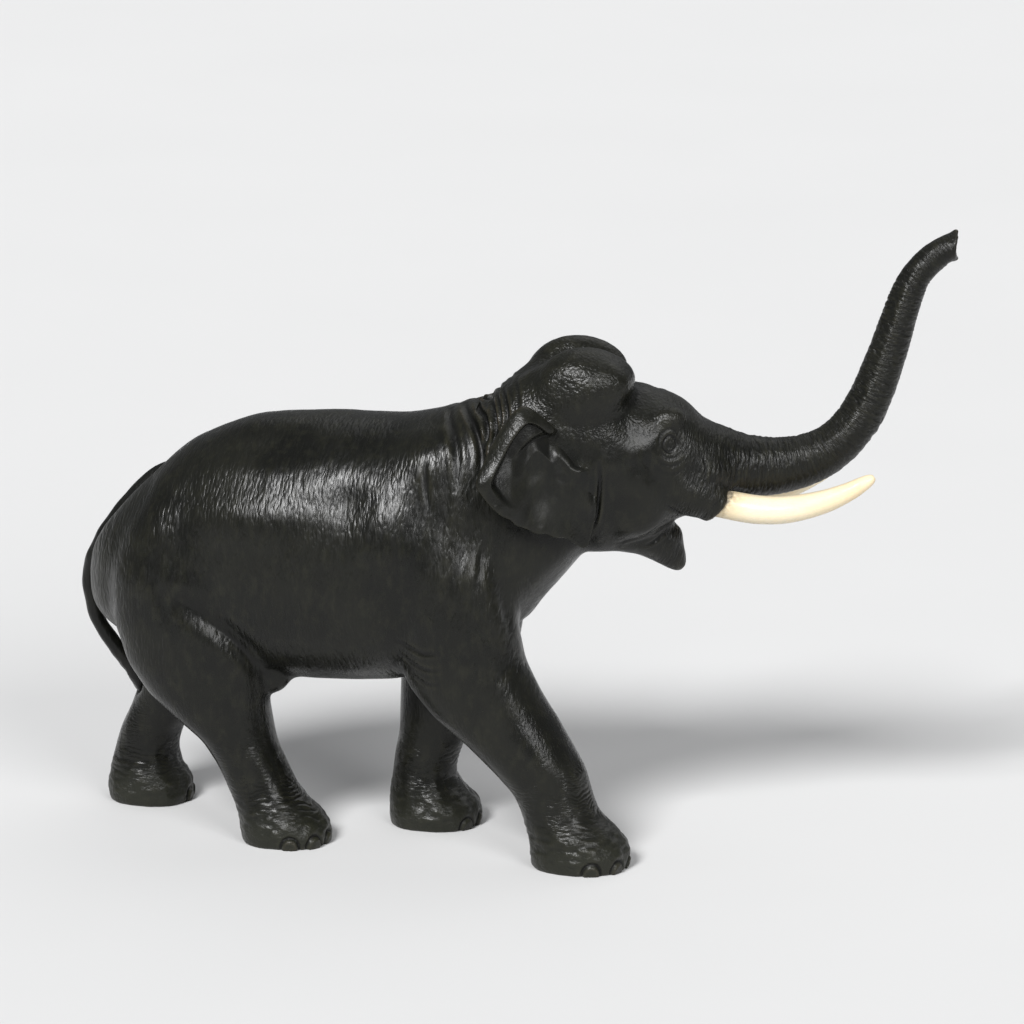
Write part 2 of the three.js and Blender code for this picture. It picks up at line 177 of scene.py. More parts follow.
def set_positions(mesh, co):
    mesh.vertices.foreach_set("co", co.astype(np.float32).ravel())
    mesh.update()


def normals(mesh):
    no = np.empty(len(mesh.vertices) * 3)
    mesh.vertex_normals.foreach_get("vector", no)
    return no.reshape(-1, 3)


def smooth_shaded(mesh):
    mesh.polygons.foreach_set("use_smooth", np.ones(len(mesh.polygons), bool))


def mesh_of(bm):
    mesh = bpy.data.meshes.new("part")
    bm.to_mesh(mesh)
    bm.free()
    return mesh


def as_bmesh(mesh):
    bm = bmesh.new()
    bm.from_mesh(mesh)
    return bm


def edge_array(mesh):
    ev = np.empty(len(mesh.edges) * 2, np.int64)
    mesh.edges.foreach_get("vertices", ev)
    return ev.reshape(-1, 2)


def spread(values, edges, rounds, weight=0.5):
    """Each value drawn towards the mean of its neighbours, several times over."""
    flat = values.ndim == 1
    v = values[:, None].copy() if flat else values.copy()
    n = len(v)
    a, b = edges[:, 0], edges[:, 1]
    degree = np.maximum(np.bincount(a, minlength=n) + np.bincount(b, minlength=n), 1)
    w = weight if np.isscalar(weight) else weight[:, None]
    for _ in range(rounds):
        mean = np.stack(
            [
                (np.bincount(a, v[b, k], n) + np.bincount(b, v[a, k], n)) / degree
                for k in range(v.shape[1])
            ],
            axis=1,
        )
        v += (mean - v) * w
    return v[:, 0] if flat else v


def remeshed(mesh, voxel):
    obj = new_object("work", mesh)
    modifier = obj.modifiers.new("voxels", "REMESH")
    modifier.mode = "VOXEL"
    modifier.voxel_size = voxel
    modifier.adaptivity = 0
    depsgraph = bpy.context.evaluated_depsgraph_get()
    made = bpy.data.meshes.new_from_object(obj.evaluated_get(depsgraph))
    bpy.data.objects.remove(obj)
    return made


def tree_of(mesh):
    obj = new_object("work", mesh)
    made = BVHTree.FromObject(obj, bpy.context.evaluated_depsgraph_get())
    bpy.data.objects.remove(obj)
    return made


def rings_joined(rings, sides):
    """The four-cornered faces between rings of vertices."""
    i, j = np.meshgrid(np.arange(rings - 1), np.arange(sides), indexing="ij")
    k = (j + 1) % sides
    faces = np.stack([i * sides + j, i * sides + k, (i + 1) * sides + k, (i + 1) * sides + j], -1)
    return faces.reshape(-1, 4)


def sweep(points, radii, sides, flat=1.0):
    """A round tube through points with closed ends, as vertices and faces."""
    points = np.asarray(points, float)
    tangent = np.gradient(points, axis=0)
    tangent /= np.linalg.norm(tangent, axis=1)[:, None]
    side = np.cross(tangent, UP if abs(tangent[0] @ UP) < 0.9 else np.array([1.0, 0, 0]))
    side /= np.linalg.norm(side, axis=1)[:, None]
    rise = np.cross(side, tangent)
    turn = np.arange(sides) / sides * 2 * math.pi
    ring = np.cos(turn)[None, :, None] * side[:, None] + flat * np.sin(turn)[None, :, None] * rise[:, None]
    vertices = (points[:, None] + ring * np.asarray(radii)[:, None, None]).reshape(-1, 3)
    n = len(points)
    faces = rings_joined(n, sides).tolist()
    vertices = np.vstack([vertices, points[:1], points[-1:]])
    for j in range(sides):
        faces.append([n * sides, (j + 1) % sides, j])
        faces.append([n * sides + 1, (n - 1) * sides + j, (n - 1) * sides + (j + 1) % sides])
    return vertices, faces


def spline(a, b, c, d, t):
    """Points from b to c on the smooth curve through a, b, c and d."""
    return 0.5 * (2 * b + (c - a) * t + (2 * a - 5 * b + 4 * c - d) * t**2 + (3 * b - a - 3 * c + d) * t**3)


def resampled(stations, step):
    """Smooth rows through stations, at even steps along the first three columns."""
    s = np.asarray(stations, float)
    padded = np.vstack([2 * s[0] - s[1], s, 2 * s[-1] - s[-2]])
    t = np.arange(SPLINE_STEPS)[:, None] / SPLINE_STEPS
    rows = [spline(*padded[i - 1 : i + 3], t) for i in range(1, len(padded) - 2)]
    rows = np.vstack(rows + [s[-1:]])
    length = np.concatenate([[0], np.cumsum(np.linalg.norm(np.diff(rows[:, :3], axis=0), axis=1))])
    at = np.linspace(0, length[-1], max(2, int(length[-1] / step) + 1))
    return np.stack([np.interp(at, length, rows[:, k]) for k in range(rows.shape[1])], axis=1), at


def nearest_on(line, points):
    """For each point, the nearest of the line's points and the square of the distance to it."""
    best = np.full(len(points), np.inf)
    which = np.zeros(len(points), int)
    for i, p in enumerate(line):
        d = ((points - p) ** 2).sum(1)
        closer = d < best
        best[closer] = d[closer]
        which[closer] = i
    return which, best


def ball(centre, radii, axes=None):
    """A sphere stretched along three directions, as vertices and faces."""
    rings, sides = 14, 24
    polar = np.linspace(0.02, math.pi - 0.02, rings)
    turn = np.arange(sides) / sides * 2 * math.pi
    x = np.sin(polar)[:, None] * np.cos(turn)
    y = np.sin(polar)[:, None] * np.sin(turn)
    z = np.cos(polar)[:, None] * np.ones(sides)
    local = np.stack([x, y, z], -1).reshape(-1, 3) * np.asarray(radii) * MM
    axes = np.eye(3) if axes is None else axes
    vertices = centre + local @ axes
    faces = rings_joined(rings, sides)[:, [0, 3, 2, 1]].tolist()
    faces.append(list(range(sides)))
    faces.append([(rings - 1) * sides + s for s in range(sides)][::-1])
    return vertices, faces


# ---------- The fused carving

HEAD_AXES = np.array([FORWARD, LEFTWARD, UP])
LEG_NAMES = ["leg_front_right", "leg_front_left", "leg_hind_right", "leg_hind_left"]
BLOCKS = ["torso_right", "torso_left", "head", "trunk", *LEG_NAMES]
DOWELS = [n for n in frame["nodes"] if "dowel" in n]

TAIL_BED = [
    [-210, 0, 225], [-226, 0, 228], [-240, 0, 219], [-256, 0, 202], [-271, 0, 181], [-275, 0, 168],
]
TAIL_BED_RADII = [8, 8.4, 8.6, 8.6, 8.6, 7]


def node_arrays(node):
    mesh = frame["nodes"][node].data
    return positions(mesh), [list(p.vertices) for p in mesh.polygons]


def bridged_block(node, trees):
    """A block whose glue faces are pushed a little way into their neighbours."""
    co, faces = node_arrays(node)
    for i, p in enumerate(co):
        for other, tree in trees.items():
            if other == node:
                continue
            hit, _, _, distance = tree.find_nearest(Vector(p), 0.5 * MM)
            if hit is not None and distance > 1e-7:
                co[i] = p + (np.array(hit) - p) * (1 + 0.6 * MM / distance)
                break
    return co, faces


def fused_blocks():
    trees = {
        n: BVHTree.FromPolygons(*[list(map(tuple, a)) for a in node_arrays(n)]) for n in BLOCKS
    }
    parts = [bridged_block(n, trees) for n in BLOCKS]
    for dowel in DOWELS:
        co, faces = node_arrays(dowel)
        centre = middle(dowel)
        parts.append((centre + (co - centre) * 1.15, faces))
    for tusk, mouth in SOCKET.items():
        line = mouth + np.linspace(-31, -0.5, 4)[:, None] * MM * AXES[tusk]
        parts.append(sweep(line, [6.9 * MM] * 4, 20))
    for side in (RIGHT, LEFT):
        slot = head([12, side * 35, 253])
        parts.append(ball(slot, (11.5, 9, 18), HEAD_AXES))
    # Flesh under the tail and between the thighs, folds of the groin, pouches of the chest
    parts.append(sweep(body(TAIL_BED), np.array(TAIL_BED_RADII) * MM, 20))
    parts.append(ball(body([-238, 5, 124]), (24, 20, 22)))
    for side in (RIGHT, LEFT):
        parts.append(ball(body([-157, side * 30, 107]), (12, 11, 11)))
        parts.append(ball(body([-3, side * 9, 160]), (12.5, 13, 12.5)))
    vertices, faces, count = [], [], 0
    for co, polygons in parts:
        vertices.append(co)
        faces += [[i + count for i in f] for f in polygons]
        count += len(co)
    return mesh_from("blocks", np.vstack(vertices), faces)


def beyond_neck(co):
    """Millimetres in front of the neck's glue line."""
    return (co - NECK[0]) @ NECK[1] / MM


def softened(mesh):
    """The facets and the hard inner corners melted, without the whole losing size.

    Sigma is how far the melting reaches, in millimetres, less where the carving is thin.
    """
    co = positions(mesh)
    edges = edge_array(mesh)
    height = to_body(co)[:, 2]
    ahead = smooth(-12, 12, beyond_neck(co))
    h = to_head(co)
    trunk = smooth(112, 135, h[:, 0]) * ahead
    snout = smooth(84, 104, h[:, 0]) * smooth(250, 238, h[:, 2]) * ahead
    lip = smooth(214, 202, h[:, 2]) * smooth(30, 58, h[:, 0]) * ahead
    leg = smooth(150, 100, height)
    widest = 7.0
    sigma = widest - 2.6 * leg
    for amount, reach in ((ahead, 4.4), (trunk, 2.2), (snout, 2.2), (lip, 1.3)):
        sigma = sigma * (1 - amount) + reach * amount
    sigma *= 0.3 + 0.7 * smooth(2, 16, height)
    weight = spread(0.5 * (sigma / widest) ** 2, edges, 8)
    soft = spread(co, edges, 60, weight)
    set_positions(mesh, soft)
    no = normals(mesh)
    sunk = ((soft - co) * no).sum(1)
    sunk = spread(sunk, edges, 80)
    soft -= no * sunk[:, None]
    sole = smooth(1.6, 0.4, height)
    soft[:, 2] = np.where(height < 1.8, soft[:, 2] * (1 - sole), soft[:, 2])
    soft[:, 2] = np.maximum(soft[:, 2], 0)
    set_positions(mesh, soft)
    return mesh


# ---------- Chisels: each adds to a height over the surface, applied along the normals


class Carving:
    def __init__(self, mesh):
        self.mesh = mesh
        self.read()

    def read(self):
        self.co = positions(self.mesh)
        self.no = normals(self.mesh)
        self.h = to_head(self.co)
        self.b = to_body(self.co)
        self.rise = np.zeros(len(self.co))
        self.tree = tree_of(self.mesh)

    def settle(self):
        sole = self.b[:, 2] < 0.6
        moved = self.co + self.no * (self.rise * MM)[:, None]
        moved[:, 2] = np.where(sole, self.co[:, 2], np.maximum(moved[:, 2], 0))
        set_positions(self.mesh, moved)
        self.read()

    def swell(self, centre, radii, height, axes=None):
        """A rounded swelling, or a hollow where the height is negative."""
        radii = np.atleast_1d(np.asarray(radii, float)) * np.ones(3)
        local = self.co - centre
        if axes is not None:
            local = local @ np.asarray(axes).T
        d = np.linalg.norm(local / (radii * MM), axis=1)
        self.rise += height * smooth(1, 0, d)

    def crease(self, points, width, depth, lift=0.3, taper=True):
        """A groove along a line laid on the surface, with the wood raised on both its sides."""
        line, _ = resampled(points, 0.7 * MM)
        hits = [self.tree.find_nearest(Vector(p), 25 * MM) for p in line]
        found = [(np.array(h[0]), np.array(h[1])) for h in hits if h[0] is not None]
        if len(found) < 2:
            return
        line = np.array([f[0] for f in found])
        facing = np.array([f[1] for f in found])
        reach = 4.5 * width * MM
        near = np.where(
            np.all(self.co > line.min(0) - reach, axis=1)
            & np.all(self.co < line.max(0) + reach, axis=1)
        )[0]
        if len(near) == 0:
            return
        which, best = nearest_on(line, self.co[near])
        d = np.sqrt(best) / (width * MM)
        share = which / (len(line) - 1)
        strength = np.sin(np.clip(share, 0.02, 0.98) * math.pi) ** 0.6 if taper else 1.0
        same_side = ((self.no[near] * facing[which]).sum(1) > 0.15).astype(float)
        profile = -np.exp(-(d**2)) + lift * np.exp(-(((d - 1.9) / 0.9) ** 2))
        self.rise[near] += depth * profile * strength * same_side


def mirrored(points):
    return [[x, -y, z] for x, y, z in points]


# Broad swellings and hollows on both sides of the body: centre, radii, height
BODY_FORMS = [
    # Shoulder hump with a hollow below it, roof of the back, barrel lower towards the rump
    ([-50, 40, 266], (34, 30, 26), 3.6),
    ([-44, 60, 234], (22, 24, 30), -2.4),
    ([-72, 66, 212], (30, 24, 36), 2.2),
    ([-160, 36, 262], (56, 26, 22), -3.2),
    ([-168, 62, 218], (60, 24, 26), 3.0),
    ([-222, 52, 214], (26, 26, 30), 2.0),
    ([-96, 58, 232], (26, 22, 26), -2.2),
    # The thigh's full front
    ([-200, 66, 134], (26, 24, 24), 1.0),
]

# The same for the head
HEAD_FORMS = [
    # Temple, hollow round the eye, brow
    ([48, 40, 282], (15, 15, 15), -1.4),
    ([73, 39, 272], (14, 12, 12), -2.2),
    ([77, 28, 290], (16, 13, 10), 4.2),
    # Cheek, root of the ear, tusk sheath
    ([52, 42, 244], (22, 14, 20), 2.6),
    ([30, 42, 260], (15, 13, 17), 1.5),
    ([99, 29, 250], (20, 12, 16), 3.6),
    # Dome: front, side and back
    ([43, 14, 313], (17, 20, 17), 2.8),
    ([36, 34, 314], (18, 14, 18), 3.4),
    ([2, 38, 312], (20, 16, 20), -2.6),
]

# Broad folds on both sides: points, width, depth, lift
BODY_FOLDS = [
    # Between belly and thigh
    (
        [
            [-216, 67, 166], [-204, 66, 161], [-190, 65, 152],
            [-176, 61, 140], [-166, 55, 128], [-159, 46, 113],
        ],
        7.0, 3.6, 0.04,
    ),
    # Chest beside the upper leg
    ([[2, 54, 196], [12, 50, 172], [14, 46, 150]], 6, 2.2, 0.2),
]
HEAD_FOLDS = [
    # Valley between dome and brow, front of the cheek
    ([[56, 8, 309], [52, 19, 306], [47, 29, 301], [42, 35, 295]], 6.5, 1.3, 0.05),
    ([[60, 40, 262], [66, 40, 248], [76, 34, 234]], 6, 1.6, 0.1),
]
DOME_FURROW = [[54, 0, 311], [48, 0, 317], [34, 0, 327], [16, 0, 332], [-4, 0, 326], [-24, 0, 312]]


def fold_both_sides(c, place, folds):
    for points, width, depth, lift in folds:
        c.crease(place(points), width, depth, lift)
        c.crease(place(mirrored(points)), width, depth, lift)


def swell_both_sides(c, place, forms, axes):
    for (x, y, z), radii, height in forms:
        for side in (RIGHT, LEFT):
            c.swell(place([x, side * y, z]), radii, height, axes)


def shape_large(c):
    """Broad forms, on the coarse carving."""
    swell_both_sides(c, body, BODY_FORMS, None)
    swell_both_sides(c, head, HEAD_FORMS, HEAD_AXES)
    fold_both_sides(c, body, BODY_FOLDS)
    fold_both_sides(c, head, HEAD_FOLDS)
    c.crease(head(DOME_FURROW), 8.0, 4.2, 0.15)
    # Forehead above the trunk, and between dome and brow
    c.swell(head([103, 0, 282]), (26, 32, 16), -3.4, HEAD_AXES)
    c.swell(head([59, 0, 303]), (14, 26, 11), 2.4, HEAD_AXES)


# Creases cut on both sides of the head: points, width, depth, lift
HEAD_CREASES = [
    # Lids and the folds round the eye
    (
        [[67.6, -37, 271.6], [68.6, -37, 275.6], [71.6, -36, 278.4], [75, -35.5, 276.6], [76.6, -35, 272.2]],
        0.75, 1.0, 0.5,
    ),
    ([[67.6, -37, 271.6], [69.6, -37.5, 269.2], [72.8, -37, 268.6], [76.6, -35, 272.2]], 0.7, 0.8, 0.5),
    ([[64, -37, 274], [66.6, -36, 280.5], [72, -35, 283], [77, -34.5, 281]], 0.85, 0.3, 0.4),
    ([[65.5, -38, 268.5], [69, -38.5, 264.8], [75, -37.5, 264.6], [79.8, -36, 268]], 0.8, 0.32, 0.4),
    ([[63, -39, 265], [68, -39, 260.2], [75, -38, 259.6], [81, -35, 263]], 0.9, 0.4, 0.4),
    ([[62, -39, 259.6], [67, -38.5, 255], [75, -37, 254.2], [82, -34.5, 258]], 0.9, 0.25, 0.35),
    ([[61, -35, 284], [64.5, -33, 288.6], [70, -31, 291]], 1.0, 0.22, 0.35),
    # Mouth, cheek and jaw
    ([[79, -27, 227], [75, -31, 229], [69.5, -35, 233]], 1.3, 1.0, 0.3),
    ([[76, -28, 218], [70, -31, 214], [62, -31, 208]], 2.2, 0.9, 0.2),
    ([[58, -20, 203], [65, -18, 205], [75, -11, 211]], 1.1, 0.9, 0.35),
    ([[40, -28, 203], [48, -27, 207], [58, -24, 212], [66, -20, 219]], 1.3, 0.6, 0.3),
    ([[93, -32, 266], [95, -32, 255], [93, -34, 243]], 1.0, 0.5, 0.35),
    # In front of the ear
    ([[25.5, -41, 264], [26, -42, 250], [25.5, -42, 238], [24.5, -40, 226], [21, -36, 213]], 1.3, 1.7, 0.25),
    # Nape
    ([[-38, -2, 298], [-38, -14, 293], [-38, -22, 283], [-41, -22, 270]], 1.7, 1.9, 0.6),
    ([[-33, -4, 301], [-34, -14, 297], [-34, -22, 288], [-37, -25, 275]], 1.2, 0.9, 0.5),
    ([[-28, -2, 303], [-29, -14, 299], [-30, -23, 290], [-34, -27, 276]], 1.5, 1.3, 0.5),
    ([[-20, -3, 309], [-21, -14, 305], [-23, -24, 297]], 1.4, 0.6, 0.4),
    ([[-46, 4, 291], [-44, -10, 289], [-44, -20, 280], [-47, -23, 266]], 1.8, 1.8, 0.6),
]

# Creases cut on both sides of the body: shoulder, chest, upper leg, groin, thigh
BODY_CREASES = [
    ([[-36, -4, 293], [-28, -20, 288], [-20, -30, 280], [-14, -38, 269], [-13, -44, 256]], 2.2, 2.0, 0.5),
    ([[-46, -2, 291], [-40, -20, 285], [-33, -34, 275], [-28, -45, 262], [-27, -52, 246]], 2.6, 1.5, 0.4),
    ([[-42, -37, 273], [-34, -51, 251], [-34, -59, 227], [-40, -66, 198]], 4.0, 1.0, 0.2),
    ([[-17, -54, 227], [-20, -60, 208], [-24, -67, 182]], 3.6, 0.9, 0.25),
    ([[-6, -54, 215], [-8, -58, 198], [-13, -63, 176]], 2.2, 0.6, 0.3),
    ([[-64, -60, 148], [-54, -66, 143], [-44, -69, 141], [-34, -69, 142]], 1.5, 0.8, 0.35),
    ([[-62, -58, 138], [-52, -65, 133], [-41, -68, 130], [-31, -68, 131]], 1.3, 0.65, 0.35),
    ([[-54, -64, 124], [-43, -67, 120], [-33, -67, 121]], 1.3, 0.6, 0.35),
    ([[-186, -65, 148], [-177, -61, 140], [-168, -56, 130], [-161, -49, 118]], 2.0, 0.9, 0.25),
    ([[-229, -60, 190], [-224, -66, 170], [-215, -68, 146]], 4.2, 0.9, 0.2),
    ([[-48, -46, 262], [-47, -52, 250], [-43, -60, 232]], 1.8, 0.9, 0.4),
]

# Legs: heights of the ankle and of the wrinkles over it, bearings of the toenails in degrees
FEET = {
    "leg_front_right": {"ankle": 46, "knee": 84, "nails": [-62, -26, 9, 42]},
    "leg_front_left": {"ankle": 44, "knee": 84, "nails": [-30, 4, 38, 72]},
    "leg_hind_right": {"ankle": 36, "knee": 70, "nails": [-68, -34, 0]},
    "leg_hind_left": {"ankle": 36, "knee": 70, "nails": [0, 34, 68]},
}
FOOT_TOP = 118
NAIL_HALF_WIDTH, NAIL_HEIGHT = 5.6, 7.4
LEG_VERTICES = {n: node_arrays(n)[0] for n in LEG_NAMES}


def section_centre(name, level):
    """Middle and half sizes of a leg at a height, from its CAD node's vertices."""
    co = LEG_VERTICES[name]
    band = co[np.abs(co[:, 2] - level * MM) < 9 * MM]
    if len(band) < 6:
        band = co
    low, high = band.min(0), band.max(0)
    return (low + high) / 2, (high - low) / 2


def carve_feet(c):
    margin = 3 * MM
    for name, foot in FEET.items():
        low, high = span(name)
        flat = c.co[:, :2]
        inside = np.all((flat > low[:2] - margin) & (flat < high[:2] + margin), axis=1)
        near = np.where(inside & (c.co[:, 2] < FOOT_TOP * MM))[0]
        p, z = c.co[near] / MM, c.b[near, 2]
        centre, half = section_centre(name, 8)
        away = c.co[near] - centre
        angle = np.arctan2(away[:, 1] / half[1], away[:, 0] / half[0])
        girth = (half[0] + half[1]) / 2 / MM
        rise = np.zeros(len(near))
        # Toenails: a raised half disc in a cut round its edge, and the toe above it
        for nail in foot["nails"]:
            offset = (angle - math.radians(nail)) * girth
            r = np.hypot(offset / NAIL_HALF_WIDTH, np.maximum(z - 0.5, 0) / NAIL_HEIGHT)
            rise += 1.2 * smooth(1.0, 0.74, r) - 1.3 * np.exp(-(((r - 1.13) / 0.13) ** 2)) * (r < 1.6)
            rise += 0.7 * smooth(1.3, 0.2, np.hypot(offset / 6.5, (z - 14) / 5.5))
        # Rounded pad between the nails and the ankle
        front = smooth(-0.3, 0.9, np.cos(angle))
        rise += 1.3 * front * np.exp(-(((z - 16) / 7) ** 2))
        # Wrinkles round the ankle
        sway = 4.2 * noise(p, 17, 11) + 2.4 * noise(p, 7, 12)
        cut = (0.5 + 0.5 * np.cos((z + sway) / 3.2 * 2 * math.pi)) ** 3
        band = np.exp(-(((z - foot["ankle"] + 4) / 15) ** 2)) * (0.35 + 0.65 * front)
        rise -= 0.6 * cut * band * (0.15 + 0.85 * smooth(-0.25, 0.35, noise(p, 12, 13)))
        # Chipped skin over the toes
        chips = noise(p * np.array([0.7, 0.7, 1.3]), 3.6, 16) + 0.6 * noise(p, 7, 17)
        rise += 0.5 * chips * smooth(44, 16, z) * smooth(3, 9, z)
        # Short wrinkles up the outer face of the leg
        outside = math.radians(48 if name.endswith("right") else -48)
        face = np.exp(-(((z - foot["knee"]) / 28) ** 2)) * smooth(0.45, 0.9, np.cos(angle + outside))
        sway = 5 * noise(p, 23, 14) + 0.8 * (p[:, 1] - centre[1] / MM)
        cut = (0.5 + 0.5 * np.cos((z + sway) / 4.4 * 2 * math.pi)) ** 4
        rise -= 1.0 * cut * face * smooth(-0.1, 0.35, noise(p, 6.5, 18))
        # Uneven edge of the sole
        rise += 0.5 * noise(p * np.array([1, 1, 0.4]), 6, 15) * np.exp(-((z / 9) ** 2))
        c.rise[near] += rise


def trunk_place(h):
    """Coordinates of the trunk pulled straight: along it, above and left of its middle line, in mm."""
    stations = [
        [70, 0, 262], [86, 0, 257], [102, 0, 252.5], [120, 0, 249], [142, 0, 247.5], [161, 0, 249.5],
        [179, 0, 256.5], [193.5, 0, 269], [205, 0, 287], [214, 0, 309], [221.5, 0, 332],
        [228, 0, 353], [235, 0, 368.5], [244.5, 0, 379], [254.5, 0, 385.5], [266, 0, 390],
    ]
    line, at = resampled(stations, 1.5)
    which, _ = nearest_on(line, h)
    tangent = np.gradient(line, axis=0)
    tangent /= np.linalg.norm(tangent, axis=1)[:, None]
    out = h - line[which]
    along = at[which] + (out * tangent[which]).sum(1)
    rise = np.cross(tangent[which], np.array([0.0, 1.0, 0.0]))
    return np.stack([along, (out * rise).sum(1), out[:, 1]], axis=1), at[-1]


def carve_trunk(c):
    straight, total = trunk_place(c.h)
    along = straight[:, 0]
    start = smooth(8, 34, along) * (beyond_neck(c.co) > 30) * smooth(72, 86, c.h[:, 0])
    sway = 1.4 * noise(straight, 13, 21)
    warp = straight + sway[:, None] * np.array([1.0, 0, 0])
    folds = noise(warp * np.array([1, 0.2, 0.2]), 2.5, 22)
    fine = noise(warp * np.array([1, 0.3, 0.3]), 1.35, 23)
    cut = 1 - np.abs(folds)
    uneven = 0.6 + 0.4 * noise(straight, 12, 24)
    end = 1 - 0.5 * smooth(total - 50, total - 6, along)
    sheath = smooth(234, 246, c.h[:, 2] + 0.3 * (c.h[:, 0] - 110))
    amount = start * uneven * end * (0.35 + 0.65 * sheath)
    c.rise -= amount * (0.62 * cut**4 + 0.36 * fine)
    c.rise += 0.2 * start
    # A lengthwise ridge on each side, with the face above it drawn in
    turned = np.degrees(np.arctan2(straight[:, 1], np.abs(straight[:, 2])))
    ridge = np.exp(-(((turned - 20) / 17) ** 2)) - 1.2 * np.exp(-(((turned - 50) / 18) ** 2))
    c.rise += 0.6 * ridge * smooth(90, 130, along) * smooth(total - 20, total - 60, along)
    # The end face stands upright, with a finger above and below its opening
    near_end = smooth(total - 22, total - 8, along)
    lean = np.clip((c.h[:, 2] - 389) * 0.42, -3.2, 5) * near_end
    lean -= 3.4 * np.exp(-(((c.h[:, 2] - 388.5) / 6.5) ** 2)) * smooth(total - 9, total - 1, along)
    c.co += FORWARD * (lean * MM)[:, None]


# The skin's edge round a tusk slants: its top reaches further forward than its flap below
EDGE_NORMAL = (FORWARD * 17 - UP * 15) / math.hypot(17, 15)
ROOT_DEPTH = 12


def edge_point(tusk):
    return SOCKET[tusk] - FORWARD * 1.6 * MM


def slanted_tool(tusk):
    """A round bar in front of the skin's edge, with a slanting rear end."""
    axis, mouth, p0 = AXES[tusk], SOCKET[tusk], edge_point(tusk)
    side = np.cross(axis, UP)
    side /= np.linalg.norm(side)
    rise = np.cross(side, axis)
    count = 48
    turn = np.arange(count) / count * 2 * math.pi
    ring = mouth + (np.cos(turn)[:, None] * side + np.sin(turn)[:, None] * rise) * 12.4 * MM
    depth = -((ring - p0) @ EDGE_NORMAL) / (axis @ EDGE_NORMAL)
    rear = ring + depth[:, None] * axis
    front = ring + 18 * MM * axis
    vertices = np.vstack([rear, front, rear.mean(0)[None], front.mean(0)[None]])
    faces = []
    for i in range(count):
        j = (i + 1) % count
        faces += [[i, j, count + j, count + i], [2 * count, j, i], [2 * count + 1, count + i, count + j]]
    return vertices, faces


def carve_head(c):
    fold_both_sides(c, head, HEAD_CREASES)
    for side in (RIGHT, LEFT):
        c.swell(head([72, side * 36.5, 273.4]), 4.2, 1.1)
        # The skin's rolled edge round the root of the tusk
        name = "tusk_right" if side == RIGHT else "tusk_left"
        depth = (c.co - edge_point(name)) @ EDGE_NORMAL / MM
        local = c.co - SOCKET[name]
        away = np.linalg.norm(local - (local @ AXES[name])[:, None] * AXES[name], axis=1) / MM
        c.rise += (away < 19) * (away > 8) * (
            0.5 * np.exp(-(((depth + 1.4) / 1.6) ** 2)) - 0.3 * np.exp(-(((depth + 6) / 1.8) ** 2))
        )
    u, z = c.h[:, 0], c.h[:, 2]
    # Pits over the domes and forehead
    top = smooth(270, 300, z) * smooth(-50, -30, u) * smooth(96, 70, u)
    c.rise += 0.1 * top * noise(c.co / MM, 2.6, 31)
    # The lower jaw drawn out to a point with a straight front edge
    jaw = smooth(56, 74, u) * smooth(216, 204, z) * smooth(120, 100, u) * (z > 160)
    c.co += UP * (-1.0 * jaw * smooth(70, 86, u) * smooth(206, 188, z) * MM)[:, None]
    c.co += FORWARD * (1.6 * jaw * smooth(66, 84, u) * smooth(200, 186, z) * MM)[:, None]
    # Upper and lower finger at the trunk's end
    c.swell(head([259, 0, 400]), (7, 6, 7), 1.4, HEAD_AXES)
    c.swell(head([267, 0, 379]), (6, 6, 6), 1.0, HEAD_AXES)


def carve_body(c):
    fold_both_sides(c, body, BODY_CREASES)
    p = c.co / MM
    c.rise += 0.32 * noise(p, 34, 41) + 0.16 * noise(p, 13, 42)
    # Long shallow tool marks that run down the flanks
    stretched = p * np.array([1, 0.22, 0.22])
    level = smooth(96, 130, c.b[:, 2])
    c.rise += 0.09 * level * noise(stretched, 3.4, 43) + 0.12 * level * noise(stretched, 9, 44)


# ---------- What the finish needs to know: stored on the vertices


def store(mesh, name, values):
    """A value for each vertex; a name that a mesh doesn't store reads as zero in its material."""
    attribute = mesh.attributes.get(name) or mesh.attributes.new(name, "FLOAT", "POINT")
    attribute.data.foreach_set("value", np.asarray(values, np.float32))


def store_crests_and_hollows(mesh, scale=1.0):
    """Where the wood stands proud and where it is hollow."""
    co, no, edges = positions(mesh), normals(mesh), edge_array(mesh)
    near = spread(co, edges, 4)
    far = spread(co, edges, 26)
    fine = ((co - near) * no).sum(1) / MM
    broad = ((co - far) * no).sum(1) / MM
    fine = spread(fine, edges, 2)
    crest = 0.6 * np.clip(fine / (0.16 * scale), 0, 1) + 0.4 * np.clip(broad / (0.9 * scale), 0, 1)
    hollow = 0.7 * np.clip(-fine / (0.16 * scale), 0, 1) + 0.5 * np.clip(-broad / (0.8 * scale), 0, 1)
    store(mesh, "crest", crest)
    # The hollow value also paints shade into the wood's colour: darker in the hollows
    store(mesh, "hollow", hollow)


def store_regions(mesh):
    """Which strokes the knife leaves: down the flanks, round the legs, round the trunk, pits."""
    co = positions(mesh)
    h, b = to_head(co), to_body(co)
    ahead = smooth(-16, 6, beyond_neck(co)) * smooth(150, 190, b[:, 2])
    leg = smooth(128, 92, b[:, 2])
    snout = ahead * smooth(60, 84, h[:, 0])
    dome = ahead * smooth(266, 290, h[:, 2]) * (1 - smooth(70, 92, h[:, 0]))
    cheek = ahead * (1 - snout) * (1 - dome)
    regions = {
        "flank": (1 - ahead) * (1 - leg), "leg": leg * (1 - ahead), "snout": snout, "dome": dome,
        "cheek": cheek, "foot": smooth(34, 8, b[:, 2]), "ankle": smooth(84, 58, b[:, 2]),
    }
    for name, values in regions.items():
        store(mesh, name, values)
    straight, _ = trunk_place(h)
    ring = mesh.attributes.new("ring", "FLOAT_VECTOR", "POINT")
    ring.data.foreach_set("vector", straight.astype(np.float32).ravel())


# ---------- Cutting along the glue lines


